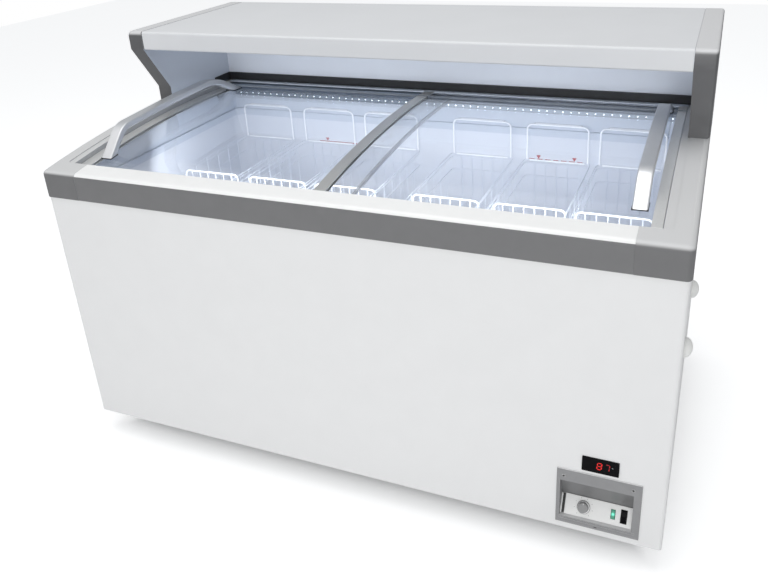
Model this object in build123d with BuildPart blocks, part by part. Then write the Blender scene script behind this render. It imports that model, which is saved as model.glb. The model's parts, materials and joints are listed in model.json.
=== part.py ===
from build123d import *
from math import atan2, cos, degrees, radians, sin, sqrt
import os

os.makedirs("parts", exist_ok=True)

# The freezer stands on the floor at Z = 0, its front towards -Y, and the origin lies under the
# middle of the cabinet. Sizes are in millimetres.

# Cabinet
cabinet_width = 1500
cabinet_depth = 880
castor_height = 72
body_height = 646
rim_height = 67
rim_round = 12
rim_wall = 6
shell_inset = 3
sheet = 1.2
bend_radius = 8
seam = 0.3
round_facets = 16

# The rim and both lids follow one crowned line from front to back
crown_radius = 3100
crown_setback = 540

# Front and side rims
rail_depth = 30
lip_depth = 20
strip_thickness = 2.5
strip_inset = 102
strip_edge_drop = 6
side_rim_width = 60
channel_width = 19
channel_depth = 2

# Tank
tank_front_wall = 65
tank_back_wall = 142
tank_floor_height = 70
tank_corner = 30
liner_sheet = 1.5
step_length = 330
step_height = 310
step_foam = 50
pan_sheet = 2
pan_flange = 20

# Plastic frame in the mouth of the tank, with the ledge for the baskets
ledge_drop = 48
ledge_thickness = 4
ledge_width = 8
skirt_depth = 20
skirt_wall = 6
skirt_drop = 25

# Sliding lids, upper one on the right
glass = 5
upper_drop = 3
track_fin = 6
track_play = 0.5
track_wall = 3.5
fin_depth = 12
lid_gap = 1
meeting_profile = 29
meeting_x = -27
end_profile = 21
lower_end_profile = 31
lower_lid_reach = 60
edge_trim = 8
profile_height = 9
trim_height = 6

# Handles
handle_width = 30
handle_thickness = 16
handle_front = 110
handle_back = 703
handle_inset = 93
handle_bend = 52
handle_crest = 35
front_leg_run = 58
front_leg_rise = 47
back_leg_run = 105
back_leg_rise = 40

# Canopy
bracket_width = 46
canopy_height = 263
canopy_front = 383
canopy_back = 877
lip_height = 49
bracket_foot = 466
knee_height = 90
canopy_sheet = 3
lip_return = 25
rear_panel_setback = 757
seal_height = 24
seal_thickness = 4
seal_return = 80
deck_front_wall = 7
rear_lip = 13

# Light strip under the back edge of the lids
light_height = 14
light_depth = 6
light_lens = 2

# Baskets
basket_end_play = 5
basket_gap = 35
basket_clearance = 18
basket_drop = 87
basket_play = 1
wire = 4
basket_shifts = (0.5, -8.5, -25.5, 31.5, 22.5, -1.5)
cross_ribs = 6
long_ribs = 2
divider_setback = 405
divider_bars = 4
ring_drop = 49
loop_inset = 8

# Temperature display
display_inset = 138
display_z = 262
display_width = 76
display_height = 37
display_cut_width = 71
display_cut_height = 29
display_body = 26
display_lip = 2
window_width = 58
window_height = 24
window_depth = 1

# Control recess
control_inset = 139
control_z = 162
bezel_width = 176
bezel_height = 148
bezel_lip = 2.5
opening_inset = 143
opening_width = 152
opening_height = 99
opening_drop = 31
trough_depth = 30
trough_drop = 63
box_wall = 2
plate_foot = 6
plate_width = 142
plate_sheet = 2
plate_rest = 3
knob_x = -31
lamp_x = 31.5
rocker_x = 54
knob_radius = 13.5
knob_height = 13
knob_skirt = 3
shaft_radius = 3
running_fit = 0.05
bushing_radius = 5
thermostat_width = 36
thermostat_height = 34
thermostat_depth = 20
lamp_width = 9.5
lamp_height = 20.5
lamp_depth = 14
lamp_stand = 1.5
rocker_width = 13.6
rocker_height = 29
rocker_frame = 2.5
rocker_depth = 16
rocker_stand = 3
rocker_play = 0.4
pivot_radius = 1.2

# Machine compartment
compressor_inset = 150
compressor_y = 90
compressor_radius = 72
compressor_height = 165
compressor_dome = 24
foot_height = 18
foot_radius = 11
foot_spread = 62
plate_thickness = 3
condenser_inset = 142
condenser_y = -215
condenser_width = 200
condenser_depth = 60
condenser_height = 210
fin_sheet = 1
fin_count = 12
tube_radius = 5
tube_rows = 3
motor_round = 5
fan_radius = 88
blade_count = 5
blade_root = 24
blade_pitch = 32
blade_chord = 34
blade_sheet = 2
hub_length = 22
shroud_depth = 24
shroud_play = 6
guard_bars = 3
motor_radius = 30
motor_length = 42
pipe_radius = 4
pipe_stand = 18
pipe_bend = 12
slot_length = 120
slot_height = 6
slot_pitch = 16
slot_rows = 9

# Side buffers
buffer_radius = 20
buffer_height = 16
buffer_z = 542
buffer_front = 65
buffer_pitch = 235

# Castors
castor_inset = 130
castor_setback = 80
castor_plate = 70
castor_plate_sheet = 3
race_radius = 22
race_height = 5
race_play = 0.4
wheel_radius = 25
wheel_width = 21
hub_radius = 9
axle_radius = 4
trail = 16
fork_sheet = 3
fork_play = 0.8
kingpin_radius = 5

# Places that follow from the sizes above
half_width = cabinet_width / 2
front = -cabinet_depth / 2
back = cabinet_depth / 2
shell_half = half_width - shell_inset
shell_front = front + shell_inset
shell_back = back - shell_inset
crown_y = front + crown_setback
rim_front_z = castor_height + body_height + rim_height
crest_z = rim_front_z + crown_radius - sqrt(crown_radius**2 - crown_setback**2)
rail_back = front + rail_depth
lip_back = rail_back + lip_depth
mouth_half = half_width - side_rim_width
strip_half_length = half_width - strip_inset
tank_half_length = mouth_half - skirt_wall - ledge_width / 2
tank_front = front + tank_front_wall
tank_back = back - tank_back_wall
tank_floor = castor_height + tank_floor_height
step_start = half_width - step_length
step_top = castor_height + step_height
ledge_height = rim_front_z - ledge_drop
basket_height = ledge_height - basket_drop - step_top - basket_clearance
basket_bay = 2 * (tank_half_length - basket_end_play) / len(basket_shifts)
basket_width = basket_bay - basket_gap
basket_row_start = basket_end_play - tank_half_length + basket_bay / 2
basket_centres = tuple(basket_row_start + i * basket_bay + shift for i, shift in enumerate(basket_shifts))
skirt_half = tank_half_length - ledge_width / 2
skirt_front = tank_front + ledge_width / 2
skirt_back = tank_back - ledge_width / 2
inner_foam_half = shell_half - sheet
inner_foam_depth = shell_back - shell_front - 2 * sheet
pan_top = castor_height + pan_sheet
lower_drop = upper_drop + glass + track_fin + 2 * track_play
lid_front = lip_back - fin_depth + lid_gap
rear_track_back = skirt_back + ledge_width + skirt_wall
lid_back = rear_track_back - track_wall
rear_panel_y = front + rear_panel_setback
canopy_top_z = castor_height + body_height + rim_height + canopy_height
canopy_front_y = front + canopy_front
canopy_back_y = front + canopy_back
bracket_inner = half_width - bracket_width
control_x = half_width - control_inset
opening_x = half_width - opening_inset
display_x = half_width - display_inset
compressor_x = half_width - compressor_inset
condenser_x = half_width - condenser_inset
castor_x = half_width - castor_inset
castor_y = back - castor_setback
opening_top = control_z + bezel_height / 2 - opening_drop
opening_foot = opening_top - opening_height
compartment_x = step_start + step_foam
compartment_top = step_top - step_foam


def crown_z(y, drop=0):
    """Height of the crowned line at one depth, lowered by a drop."""
    return crest_z - crown_radius + sqrt(crown_radius**2 - (y - crown_y) ** 2) - drop


def crowned_band(x, start, end, upper, lower):
    """Face across the freezer at x between two drops below the crowned line."""
    middle = (start + end) / 2
    with BuildSketch(Plane.YZ.offset(x)) as band:
        with BuildLine():
            ThreePointArc(*[(y, crown_z(y, upper)) for y in (start, middle, end)])
            Line((end, crown_z(end, upper)), (end, crown_z(end, lower)))
            ThreePointArc(*[(y, crown_z(y, lower)) for y in (end, middle, start)])
            Line((start, crown_z(start, lower)), (start, crown_z(start, upper)))
        make_face()
    return band.sketch


def crowned_block(x, start, end, drop, level):
    """Face across the freezer at x between the lowered crowned line and a flat level."""
    middle = (start + end) / 2
    with BuildSketch(Plane.YZ.offset(x)) as block:
        with BuildLine():
            ThreePointArc(*[(y, crown_z(y, drop)) for y in (start, middle, end)])
            Polyline((end, crown_z(end, drop)), (end, level), (start, level), (start, crown_z(start, drop)))
        make_face()
    return block.sketch


# Bent sheet round the front and both sides
with BuildPart() as outer_shell:
    with BuildSketch(Plane.XY.offset(castor_height)):
        with BuildLine():
            wrap = FilletPolyline(
                (-shell_half, shell_back),
                (-shell_half, shell_front),
                (shell_half, shell_front),
                (shell_half, shell_back),
                radius=bend_radius,
            )
            offset(wrap, amount=sheet, side=Side.LEFT)
        make_face()
    extrude(amount=canopy_top_z)
    extrude(
        crowned_block(-cabinet_width, 2 * front, 2 * back, rim_height, 2 * canopy_top_z),
        amount=2 * cabinet_width,
        mode=Mode.SUBTRACT,
    )
    with BuildSketch(Plane.XZ.offset(-shell_front)):
        with Locations((display_x, display_z)):
            Rectangle(display_cut_width, display_cut_height)
        with Locations((opening_x, opening_top - opening_height / 2)):
            Rectangle(opening_width + 2 * box_wall + 2 * seam, opening_height + 2 * box_wall + 2 * seam)
    extrude(amount=sheet * 2, both=True, mode=Mode.SUBTRACT)
    with BuildSketch(Plane.YZ.offset(shell_half)):
        with Locations((condenser_y, (pan_top + compartment_top) / 2)):
            with GridLocations(slot_length, slot_pitch, 1, slot_rows):
                Rectangle(slot_length, slot_height)
    extrude(amount=sheet * 2, both=True, mode=Mode.SUBTRACT)
outer_shell.part.label = "outer_shell"
export_step(outer_shell.part, "parts/outer_shell.step")

# Sheet that closes the back, slotted beside the compressor
with BuildPart() as rear_sheet:
    extrude(
        crowned_block(-inner_foam_half, shell_back - sheet, shell_back, rim_height, pan_top),
        amount=2 * inner_foam_half,
    )
    extrude(
        crowned_band(-mouth_half, shell_back - sheet, shell_back, skirt_drop, rim_height),
        amount=2 * mouth_half,
    )
    with BuildSketch(Plane.XZ.offset(-shell_back)):
        with Locations(((compartment_x + inner_foam_half) / 2, (pan_top + compartment_top) / 2)):
            with GridLocations(slot_length, slot_pitch, 1, slot_rows):
                Rectangle(slot_length, slot_height)
    extrude(amount=sheet * 2, both=True, mode=Mode.SUBTRACT)
rear_sheet.part.label = "rear_sheet"
export_step(rear_sheet.part, "parts/rear_sheet.step")

# Base pan with its upturned flange, castor plates and bearing races
with BuildPart() as base_frame:
    with BuildSketch(Plane.XY.offset(castor_height)):
        RectangleRounded(2 * inner_foam_half, inner_foam_depth, bend_radius - sheet)
    extrude(amount=pan_flange)
    with BuildSketch(Plane.XY.offset(pan_top)):
        RectangleRounded(
            2 * (inner_foam_half - pan_sheet),
            inner_foam_depth - 2 * pan_sheet,
            bend_radius - sheet - pan_sheet,
        )
    extrude(amount=pan_flange, mode=Mode.SUBTRACT)
    with BuildSketch(Plane.XY.offset(castor_height - castor_plate_sheet)) as plates:
        with GridLocations(2 * castor_x, 2 * castor_y, 2, 2):
            Rectangle(castor_plate, castor_plate)
        chamfer(plates.vertices(), castor_plate / 10)
    extrude(amount=castor_plate_sheet)
    with BuildSketch(Plane.XY.offset(castor_height - castor_plate_sheet - race_height)):
        with GridLocations(2 * castor_x, 2 * castor_y, 2, 2):
            RegularPolygon(race_radius, round_facets)
            Circle(kingpin_radius + running_fit, mode=Mode.SUBTRACT)
    extrude(amount=race_height)
base_frame.part.label = "base_frame"
export_step(base_frame.part, "parts/base_frame.step")

# Foam between shell and tank, hollowed for the tank and the machine compartment
with BuildPart() as insulation:
    extrude(
        crowned_block(-inner_foam_half, shell_front + sheet, shell_back - sheet, rim_height, pan_top),
        amount=2 * inner_foam_half,
    )
    extrude(
        crowned_block(
            -mouth_half,
            rail_back,
            shell_back - sheet,
            skirt_drop + ledge_thickness,
            ledge_height - skirt_depth,
        ),
        amount=2 * mouth_half,
    )
    with BuildSketch(Plane.XY.offset(pan_top)):
        Rectangle(2 * inner_foam_half, inner_foam_depth)
        RectangleRounded(
            2 * (inner_foam_half - pan_sheet),
            inner_foam_depth - 2 * pan_sheet,
            bend_radius - sheet - pan_sheet,
            mode=Mode.SUBTRACT,
        )
    extrude(amount=pan_flange - pan_sheet, mode=Mode.SUBTRACT)
    with BuildSketch(Plane.XZ.offset(-(tank_front - liner_sheet))) as tank_side:
        with BuildLine():
            Polyline(
                (-tank_half_length - liner_sheet, 2 * ledge_height),
                (-tank_half_length - liner_sheet, tank_floor - liner_sheet),
                (step_start + liner_sheet, tank_floor - liner_sheet),
                (step_start + liner_sheet, step_top - liner_sheet),
                (tank_half_length + liner_sheet, step_top - liner_sheet),
                (tank_half_length + liner_sheet, 2 * ledge_height),
                close=True,
            )
        make_face()
    extrude(amount=-(tank_back - tank_front + 2 * liner_sheet), mode=Mode.SUBTRACT)
    with BuildSketch(Plane.XY.offset(ledge_height - ledge_thickness)):
        with BuildLine():
            Polyline(
                (-skirt_half - ledge_width - skirt_wall, skirt_front - ledge_width - skirt_wall),
                (skirt_half + ledge_width + skirt_wall, skirt_front - ledge_width - skirt_wall),
                (skirt_half + ledge_width + skirt_wall, skirt_back + ledge_width + skirt_wall),
                (-skirt_half - ledge_width - skirt_wall, skirt_back + ledge_width + skirt_wall),
                close=True,
            )
        make_face()
    extrude(amount=ledge_height, mode=Mode.SUBTRACT)
    with BuildSketch(Plane.XY.offset(pan_top)):
        with Locations((compartment_x, shell_front + sheet)):
            Rectangle(
                inner_foam_half - compartment_x,
                inner_foam_depth,
                align=(Align.MIN, Align.MIN),
            )
    extrude(amount=compartment_top - pan_top, mode=Mode.SUBTRACT)
    with BuildSketch(Plane.XY.offset(castor_height)):
        RectangleRounded(2 * inner_foam_half, inner_foam_depth, bend_radius - sheet)
    extrude(amount=canopy_top_z, mode=Mode.INTERSECT)
insulation.part.label = "insulation"
export_step(insulation.part, "parts/insulation.step")

# Tank with the raised floor over the compressor, its corners rounded
with BuildPart() as liner:
    with BuildSketch(Plane.XZ.offset(-tank_front)):
        with BuildLine():
            Polyline(
                (-tank_half_length, ledge_height - ledge_thickness),
                (-tank_half_length, tank_floor),
                (step_start, tank_floor),
                (step_start, step_top),
                (tank_half_length, step_top),
                (tank_half_length, ledge_height - ledge_thickness),
                close=True,
            )
        make_face()
    extrude(amount=-(tank_back - tank_front))
    fillet(liner.edges().filter_by(Axis.Z), tank_corner)
    offset(amount=liner_sheet, openings=liner.faces().sort_by(Axis.Z)[-1], kind=Kind.INTERSECTION)
liner.part.label = "liner"
export_step(liner.part, "parts/liner.step")

# Frame in the mouth: lip inside the tank, ledge for the baskets, wall up to the lids
with BuildPart() as inner_frame:
    with BuildSketch(Plane.XY.offset(ledge_height - skirt_depth)):
        with Locations((0, (skirt_front + skirt_back) / 2)):
            RectangleRounded(2 * tank_half_length - 2 * seam, tank_back - tank_front - 2 * seam, tank_corner)
    extrude(amount=skirt_depth - ledge_thickness)
    with BuildSketch(Plane.XY.offset(ledge_height - ledge_thickness)):
        with Locations((0, (skirt_front + skirt_back) / 2)):
            Rectangle(
                2 * (skirt_half + ledge_width + skirt_wall),
                skirt_back - skirt_front + 2 * (ledge_width + skirt_wall),
            )
    extrude(amount=canopy_top_z)
    with BuildSketch(Plane.XY.offset(ledge_height - skirt_depth)):
        with Locations((0, (skirt_front + skirt_back) / 2)):
            RectangleRounded(2 * skirt_half, skirt_back - skirt_front, tank_corner)
    extrude(amount=skirt_depth, mode=Mode.SUBTRACT)
    with BuildSketch(Plane.XY.offset(ledge_height)):
        with Locations((0, (skirt_front + skirt_back) / 2)):
            Rectangle(2 * (skirt_half + ledge_width), skirt_back - skirt_front + 2 * ledge_width)
    extrude(amount=2 * canopy_top_z, mode=Mode.SUBTRACT)
    extrude(
        crowned_block(-cabinet_width, 2 * front, 2 * back, skirt_drop, 3 * canopy_top_z),
        amount=2 * cabinet_width,
        mode=Mode.SUBTRACT,
    )
    extrude(
        crowned_band(
            -mouth_half,
            rail_back,
            skirt_front - ledge_width - skirt_wall,
            skirt_drop,
            skirt_drop + ledge_thickness,
        ),
        amount=2 * mouth_half,
    )
inner_frame.part.label = "inner_frame"
export_step(inner_frame.part, "parts/inner_frame.step")

# Outline that the front rail and its white cover share
with BuildSketch(Plane.YZ.offset(-strip_half_length)) as rim_outline:
    with BuildLine():
        middle = (front + lip_back) / 2
        ThreePointArc(*[(y, crown_z(y)) for y in (front, middle, lip_back)])
        Polyline(
            (lip_back, crown_z(lip_back)),
            (lip_back, crown_z(lip_back, strip_thickness)),
            (rail_back, crown_z(rail_back, strip_thickness)),
            (rail_back, crown_z(rail_back, rim_height)),
        )
        middle = (front + rail_back) / 2
        ThreePointArc(*[(y, crown_z(y, rim_height)) for y in (rail_back, middle, front)])
        Line((front, crown_z(front, rim_height)), (front, crown_z(front)))
    make_face()
    fillet(rim_outline.vertices().sort_by_distance((front, crown_z(front), 0))[0], rim_round)

# White cover along the front edge, its lip over the lid track
with BuildPart() as front_strip:
    with BuildSketch(Plane.YZ.offset(-strip_half_length)) as cover:
        add(rim_outline.sketch_local)
        with Locations((lip_back, crown_z(front, strip_edge_drop))):
            Rectangle(
                2 * (lip_back - front), 2 * rim_height, align=(Align.CENTER, Align.MIN), mode=Mode.INTERSECT
            )
        offset(rim_outline.sketch_local, amount=-strip_thickness, mode=Mode.SUBTRACT)
    extrude(amount=2 * strip_half_length)
front_strip.part.label = "front_strip"
export_step(front_strip.part, "parts/front_strip.step")

# Hollow rail along the front between the corner mouldings
with BuildPart() as front_rail:
    extrude(rim_outline.sketch, amount=2 * strip_half_length)
    add(front_strip.part, mode=Mode.SUBTRACT)
    with BuildSketch(Plane.YZ.offset(-strip_half_length)):
        offset(rim_outline.sketch_local, amount=-rim_wall)
    extrude(amount=2 * strip_half_length, mode=Mode.SUBTRACT)
front_rail.part.label = "front_rail"
export_step(front_rail.part, "parts/front_rail.step")

# Side moulding with its front corner, channelled beside the lids and open underneath
with BuildPart() as left_rim:
    extrude(crowned_band(-half_width, front, back, 0, rim_height), amount=side_rim_width)
    extrude(crowned_band(-half_width, front, rail_back, 0, rim_height), amount=half_width - strip_half_length)
    extrude(
        crowned_band(-half_width, front, lip_back, 0, strip_thickness),
        amount=half_width - strip_half_length,
    )
    outer_edges = left_rim.edges().filter_by(lambda e: abs(e.center().X + half_width) < seam)
    top_edge = outer_edges.sort_by(Axis.Z)[-1]
    corner_edge = outer_edges.filter_by(Axis.Z).sort_by(Axis.Y)[0]
    front_edge = left_rim.edges().filter_by(Axis.X).group_by(Axis.Y)[0].sort_by(Axis.Z)[-1]
    fillet([top_edge, corner_edge, front_edge], rim_round)
    extrude(
        crowned_block(-half_width + rim_wall, front + rim_wall, back - rim_wall, rim_wall, castor_height),
        amount=side_rim_width - 2 * rim_wall,
        mode=Mode.SUBTRACT,
    )
    with BuildSketch(Plane.XY.offset(rim_front_z - channel_depth)) as channel:
        with Locations((-mouth_half, lip_back)):
            Rectangle(channel_width, cabinet_depth, align=(Align.MAX, Align.MIN))
        fillet(channel.vertices().group_by(Axis.Y)[0].sort_by(Axis.X)[0], channel_width / 2)
    channel_prism = extrude(amount=canopy_height, mode=Mode.PRIVATE)
    channel_cut = channel_prism & extrude(
        crowned_band(-half_width, lip_back, back, -channel_depth, channel_depth),
        amount=side_rim_width,
        mode=Mode.PRIVATE,
    )
    add(channel_cut, mode=Mode.SUBTRACT)
left_rim.part.label = "left_rim"
export_step(left_rim.part, "parts/left_rim.step")

with BuildPart() as right_rim:
    mirror(left_rim.part, about=Plane.YZ)
right_rim.part.label = "right_rim"
export_step(right_rim.part, "parts/right_rim.step")

# Front track: two grooves, one above the other
fin_drop = upper_drop + glass + track_play
sill_drop = lower_drop + glass + track_play
with BuildPart() as front_track:
    groove_back = lip_back - fin_depth
    extrude(
        crowned_band(-mouth_half, rail_back, groove_back, strip_thickness + seam, skirt_drop),
        amount=2 * mouth_half,
    )
    extrude(
        crowned_band(-mouth_half, groove_back, lip_back, fin_drop, lower_drop - track_play),
        amount=2 * mouth_half,
    )
    extrude(
        crowned_band(-mouth_half, groove_back, lip_back, sill_drop, skirt_drop),
        amount=2 * mouth_half,
    )
front_track.part.label = "front_track"
export_step(front_track.part, "parts/front_track.step")

# Back track
with BuildPart() as rear_track:
    groove_front = lid_back - fin_depth
    extrude(
        crowned_band(-mouth_half, lid_back + track_play, rear_track_back, strip_thickness, skirt_drop),
        amount=2 * mouth_half,
    )
    extrude(
        crowned_band(
            -mouth_half, groove_front, lid_back + track_play, fin_drop, lower_drop - track_play
        ),
        amount=2 * mouth_half,
    )
    extrude(
        crowned_band(-mouth_half, groove_front, lid_back + track_play, sill_drop, skirt_drop),
        amount=2 * mouth_half,
    )
rear_track.part.label = "rear_track"
export_step(rear_track.part, "parts/rear_track.step")

# Dark rail behind the lids that also decks the back of the cabinet
with BuildPart() as rear_rail:
    extrude(crowned_band(-mouth_half, rear_track_back, back, 0, skirt_drop), amount=2 * mouth_half)
    extrude(
        crowned_band(-mouth_half, lid_back - rear_lip, rear_track_back, 0, strip_thickness),
        amount=2 * mouth_half,
    )
    extrude(
        crowned_block(
            -mouth_half + rim_wall,
            rear_track_back + deck_front_wall,
            back - rim_wall,
            strip_thickness,
            castor_height,
        ),
        amount=2 * (mouth_half - rim_wall),
        mode=Mode.SUBTRACT,
    )
rear_rail.part.label = "rear_rail"
export_step(rear_rail.part, "parts/rear_rail.step")

# Curved panes
with BuildPart() as right_glass:
    pane_start = meeting_x + meeting_profile / 2
    pane_end = mouth_half - lid_gap - end_profile / 2
    extrude(
        crowned_band(pane_start, lid_front, lid_back, upper_drop, upper_drop + glass),
        amount=pane_end - pane_start,
    )
right_glass.part.label = "right_glass"
export_step(right_glass.part, "parts/right_glass.step")

with BuildPart() as left_glass:
    pane_start = -mouth_half + lid_gap + lower_end_profile / 2
    pane_end = lower_lid_reach - edge_trim / 2
    extrude(
        crowned_band(pane_start, lid_front, lid_back, lower_drop, lower_drop + glass),
        amount=pane_end - pane_start,
    )
left_glass.part.label = "left_glass"
export_step(left_glass.part, "parts/left_glass.step")

# Edge profiles of the lids, each slotted for its pane
profile_front = lip_back + seam
profile_back = lid_back - rear_lip - seam
with BuildPart() as right_meeting_profile:
    extrude(crowned_band(meeting_x, profile_front, profile_back, 0, profile_height), amount=meeting_profile)
    chamfer(right_meeting_profile.edges().sort_by(Axis.Z)[-4:].sort_by(Axis.X)[0], 1)
    add(right_glass.part, mode=Mode.SUBTRACT)
right_meeting_profile.part.label = "right_meeting_profile"
export_step(right_meeting_profile.part, "parts/right_meeting_profile.step")

with BuildPart() as right_end_profile:
    extrude(
        crowned_band(mouth_half - lid_gap - end_profile, profile_front, profile_back, 0, profile_height),
        amount=end_profile,
    )
    add(right_glass.part, mode=Mode.SUBTRACT)
right_end_profile.part.label = "right_end_profile"
export_step(right_end_profile.part, "parts/right_end_profile.step")

lower_profile_drop = lower_drop - (profile_height - glass) / 2
with BuildPart() as left_end_profile:
    extrude(
        crowned_band(
            -mouth_half + lid_gap,
            profile_front,
            profile_back,
            lower_profile_drop,
            lower_profile_drop + profile_height,
        ),
        amount=lower_end_profile,
    )
    add(left_glass.part, mode=Mode.SUBTRACT)
left_end_profile.part.label = "left_end_profile"
export_step(left_end_profile.part, "parts/left_end_profile.step")

with BuildPart() as left_edge_trim:
    extrude(
        crowned_band(
            lower_lid_reach - edge_trim,
            profile_front,
            profile_back,
            lower_drop - (trim_height - glass) / 2,
            lower_drop + glass + (trim_height - glass) / 2,
        ),
        amount=edge_trim,
    )
    add(left_glass.part, mode=Mode.SUBTRACT)
left_edge_trim.part.label = "left_edge_trim"
export_step(left_edge_trim.part, "parts/left_edge_trim.step")

# Bow handles that stand on the panes near their outer ends
for side, drop in ((-1, lower_drop), (1, upper_drop)):
    handle_x = side * (half_width - handle_inset - handle_width / 2)
    foot_front = front + handle_front + handle_thickness / 2
    foot_back = front + handle_back - handle_thickness
    front_drop = front_leg_rise + drop
    back_drop = back_leg_rise + drop
    crest_y = (foot_front + front_leg_run + foot_back - back_leg_run) / 2
    with BuildPart() as handle:
        with BuildLine(Plane.YZ.offset(handle_x)) as bow:
            FilletPolyline(
                (foot_front - front_leg_run / 2, crown_z(foot_front, drop) - front_drop / 2),
                (foot_front + front_leg_run, crown_z(foot_front) + front_leg_rise),
                (crest_y, crown_z(crest_y) + handle_crest),
                (foot_back - back_leg_run, crown_z(foot_back) + back_leg_rise),
                (foot_back + back_leg_run / 2, crown_z(foot_back, drop) - back_drop / 2),
                radius=handle_bend,
            )
        with BuildSketch(Plane(origin=bow.line @ 0, x_dir=(1, 0, 0), z_dir=bow.line % 0)) as section:
            Rectangle(handle_width, handle_thickness)
            chamfer(section.vertices(), handle_thickness / 8)
        sweep()
        extrude(
            crowned_block(handle_x - handle_width, 2 * front, 2 * back, drop, 0),
            amount=2 * handle_width,
            mode=Mode.SUBTRACT,
        )
    name = "left_handle" if side < 0 else "right_handle"
    handle.part.label = name
    export_step(handle.part, f"parts/{name}.step")

# Canopy brackets, stepped at the knee
with BuildPart() as left_bracket:
    knee_z = rim_front_z + knee_height
    with BuildSketch(Plane.YZ.offset(-half_width)):
        with BuildLine():
            start = front + bracket_foot
            middle = (start + canopy_back_y) / 2
            ThreePointArc(*[(y, crown_z(y)) for y in (start, middle, canopy_back_y)])
            Polyline(
                (canopy_back_y, crown_z(canopy_back_y)),
                (canopy_back_y, canopy_top_z),
                (canopy_front_y, canopy_top_z),
                (canopy_front_y, canopy_top_z - lip_height),
                (start, knee_z),
                (start, crown_z(start)),
            )
        make_face()
    extrude(amount=bracket_width)
    fillet(left_bracket.faces().sort_by(Axis.X)[0].edges().sort_by(Axis.Z)[-1], canopy_sheet)
left_bracket.part.label = "left_bracket"
export_step(left_bracket.part, "parts/left_bracket.step")

with BuildPart() as right_bracket:
    mirror(left_bracket.part, about=Plane.YZ)
right_bracket.part.label = "right_bracket"
export_step(right_bracket.part, "parts/right_bracket.step")

# Folded sheet between the brackets: shelf, front lip and its return
with BuildPart() as canopy_top:
    with BuildSketch(Plane.YZ.offset(-bracket_inner + seam)):
        with BuildLine():
            shelf = Polyline(
                (canopy_back_y, canopy_top_z),
                (canopy_front_y, canopy_top_z),
                (canopy_front_y, canopy_top_z - lip_height),
                (canopy_front_y + lip_return, canopy_top_z - lip_height),
            )
            offset(shelf, amount=canopy_sheet, side=Side.LEFT)
        make_face()
    extrude(amount=2 * (bracket_inner - seam))
canopy_top.part.label = "canopy_top"
export_step(canopy_top.part, "parts/canopy_top.step")

# Panel that faces the goods, and the cover behind it
with BuildPart() as rear_panel:
    extrude(
        crowned_block(
            -bracket_inner + seam,
            rear_panel_y,
            rear_panel_y + canopy_sheet,
            0,
            canopy_top_z - canopy_sheet,
        ),
        amount=2 * (bracket_inner - seam),
    )
rear_panel.part.label = "rear_panel"
export_step(rear_panel.part, "parts/rear_panel.step")

with BuildPart() as back_cover:
    extrude(
        crowned_block(
            -bracket_inner + seam,
            canopy_back_y - canopy_sheet,
            canopy_back_y,
            0,
            canopy_top_z - canopy_sheet,
        ),
        amount=2 * (bracket_inner - seam),
    )
back_cover.part.label = "back_cover"
export_step(back_cover.part, "parts/back_cover.step")

# Black band along the foot of the panel, returned along both brackets
seal_top = crown_z(rear_panel_y) + seal_height
with BuildPart() as rear_seal:
    extrude(
        crowned_block(-bracket_inner, rear_panel_y - seal_return, rear_panel_y, 0, seal_top),
        amount=2 * bracket_inner,
    )
    with BuildSketch(Plane.XY.offset(castor_height)):
        with Locations((0, rear_panel_y - seal_thickness)):
            Rectangle(
                2 * (bracket_inner - seal_thickness), seal_return, align=(Align.CENTER, Align.MAX)
            )
    extrude(amount=canopy_top_z, mode=Mode.SUBTRACT)
rear_seal.part.label = "rear_seal"
export_step(rear_seal.part, "parts/rear_seal.step")

# Light strip on the back wall of the mouth
light_back = skirt_back + ledge_width
light_top = crown_z(light_back, skirt_drop + ledge_thickness)
with BuildPart() as light_housing:
    with BuildSketch(Plane.XY.offset(light_top - light_height)):
        with Locations((0, light_back)):
            Rectangle(2 * skirt_half, light_depth, align=(Align.CENTER, Align.MAX))
    extrude(amount=light_height)
    with BuildSketch(Plane.XZ.offset(-(light_back - light_depth))):
        with Locations((0, light_top - light_height / 2)):
            Rectangle(2 * (skirt_half - light_depth), light_height - 2 * light_lens)
    extrude(amount=-light_lens, mode=Mode.SUBTRACT)
light_housing.part.label = "light_housing"
export_step(light_housing.part, "parts/light_housing.step")

with BuildPart() as light_lens_bar:
    with BuildSketch(Plane.XZ.offset(-(light_back - light_depth))):
        with Locations((0, light_top - light_height / 2)):
            Rectangle(2 * (skirt_half - light_depth), light_height - 2 * light_lens)
    extrude(amount=-light_lens)
light_lens_bar.part.label = "light_lens"
export_step(light_lens_bar.part, "parts/light_lens.step")

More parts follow.
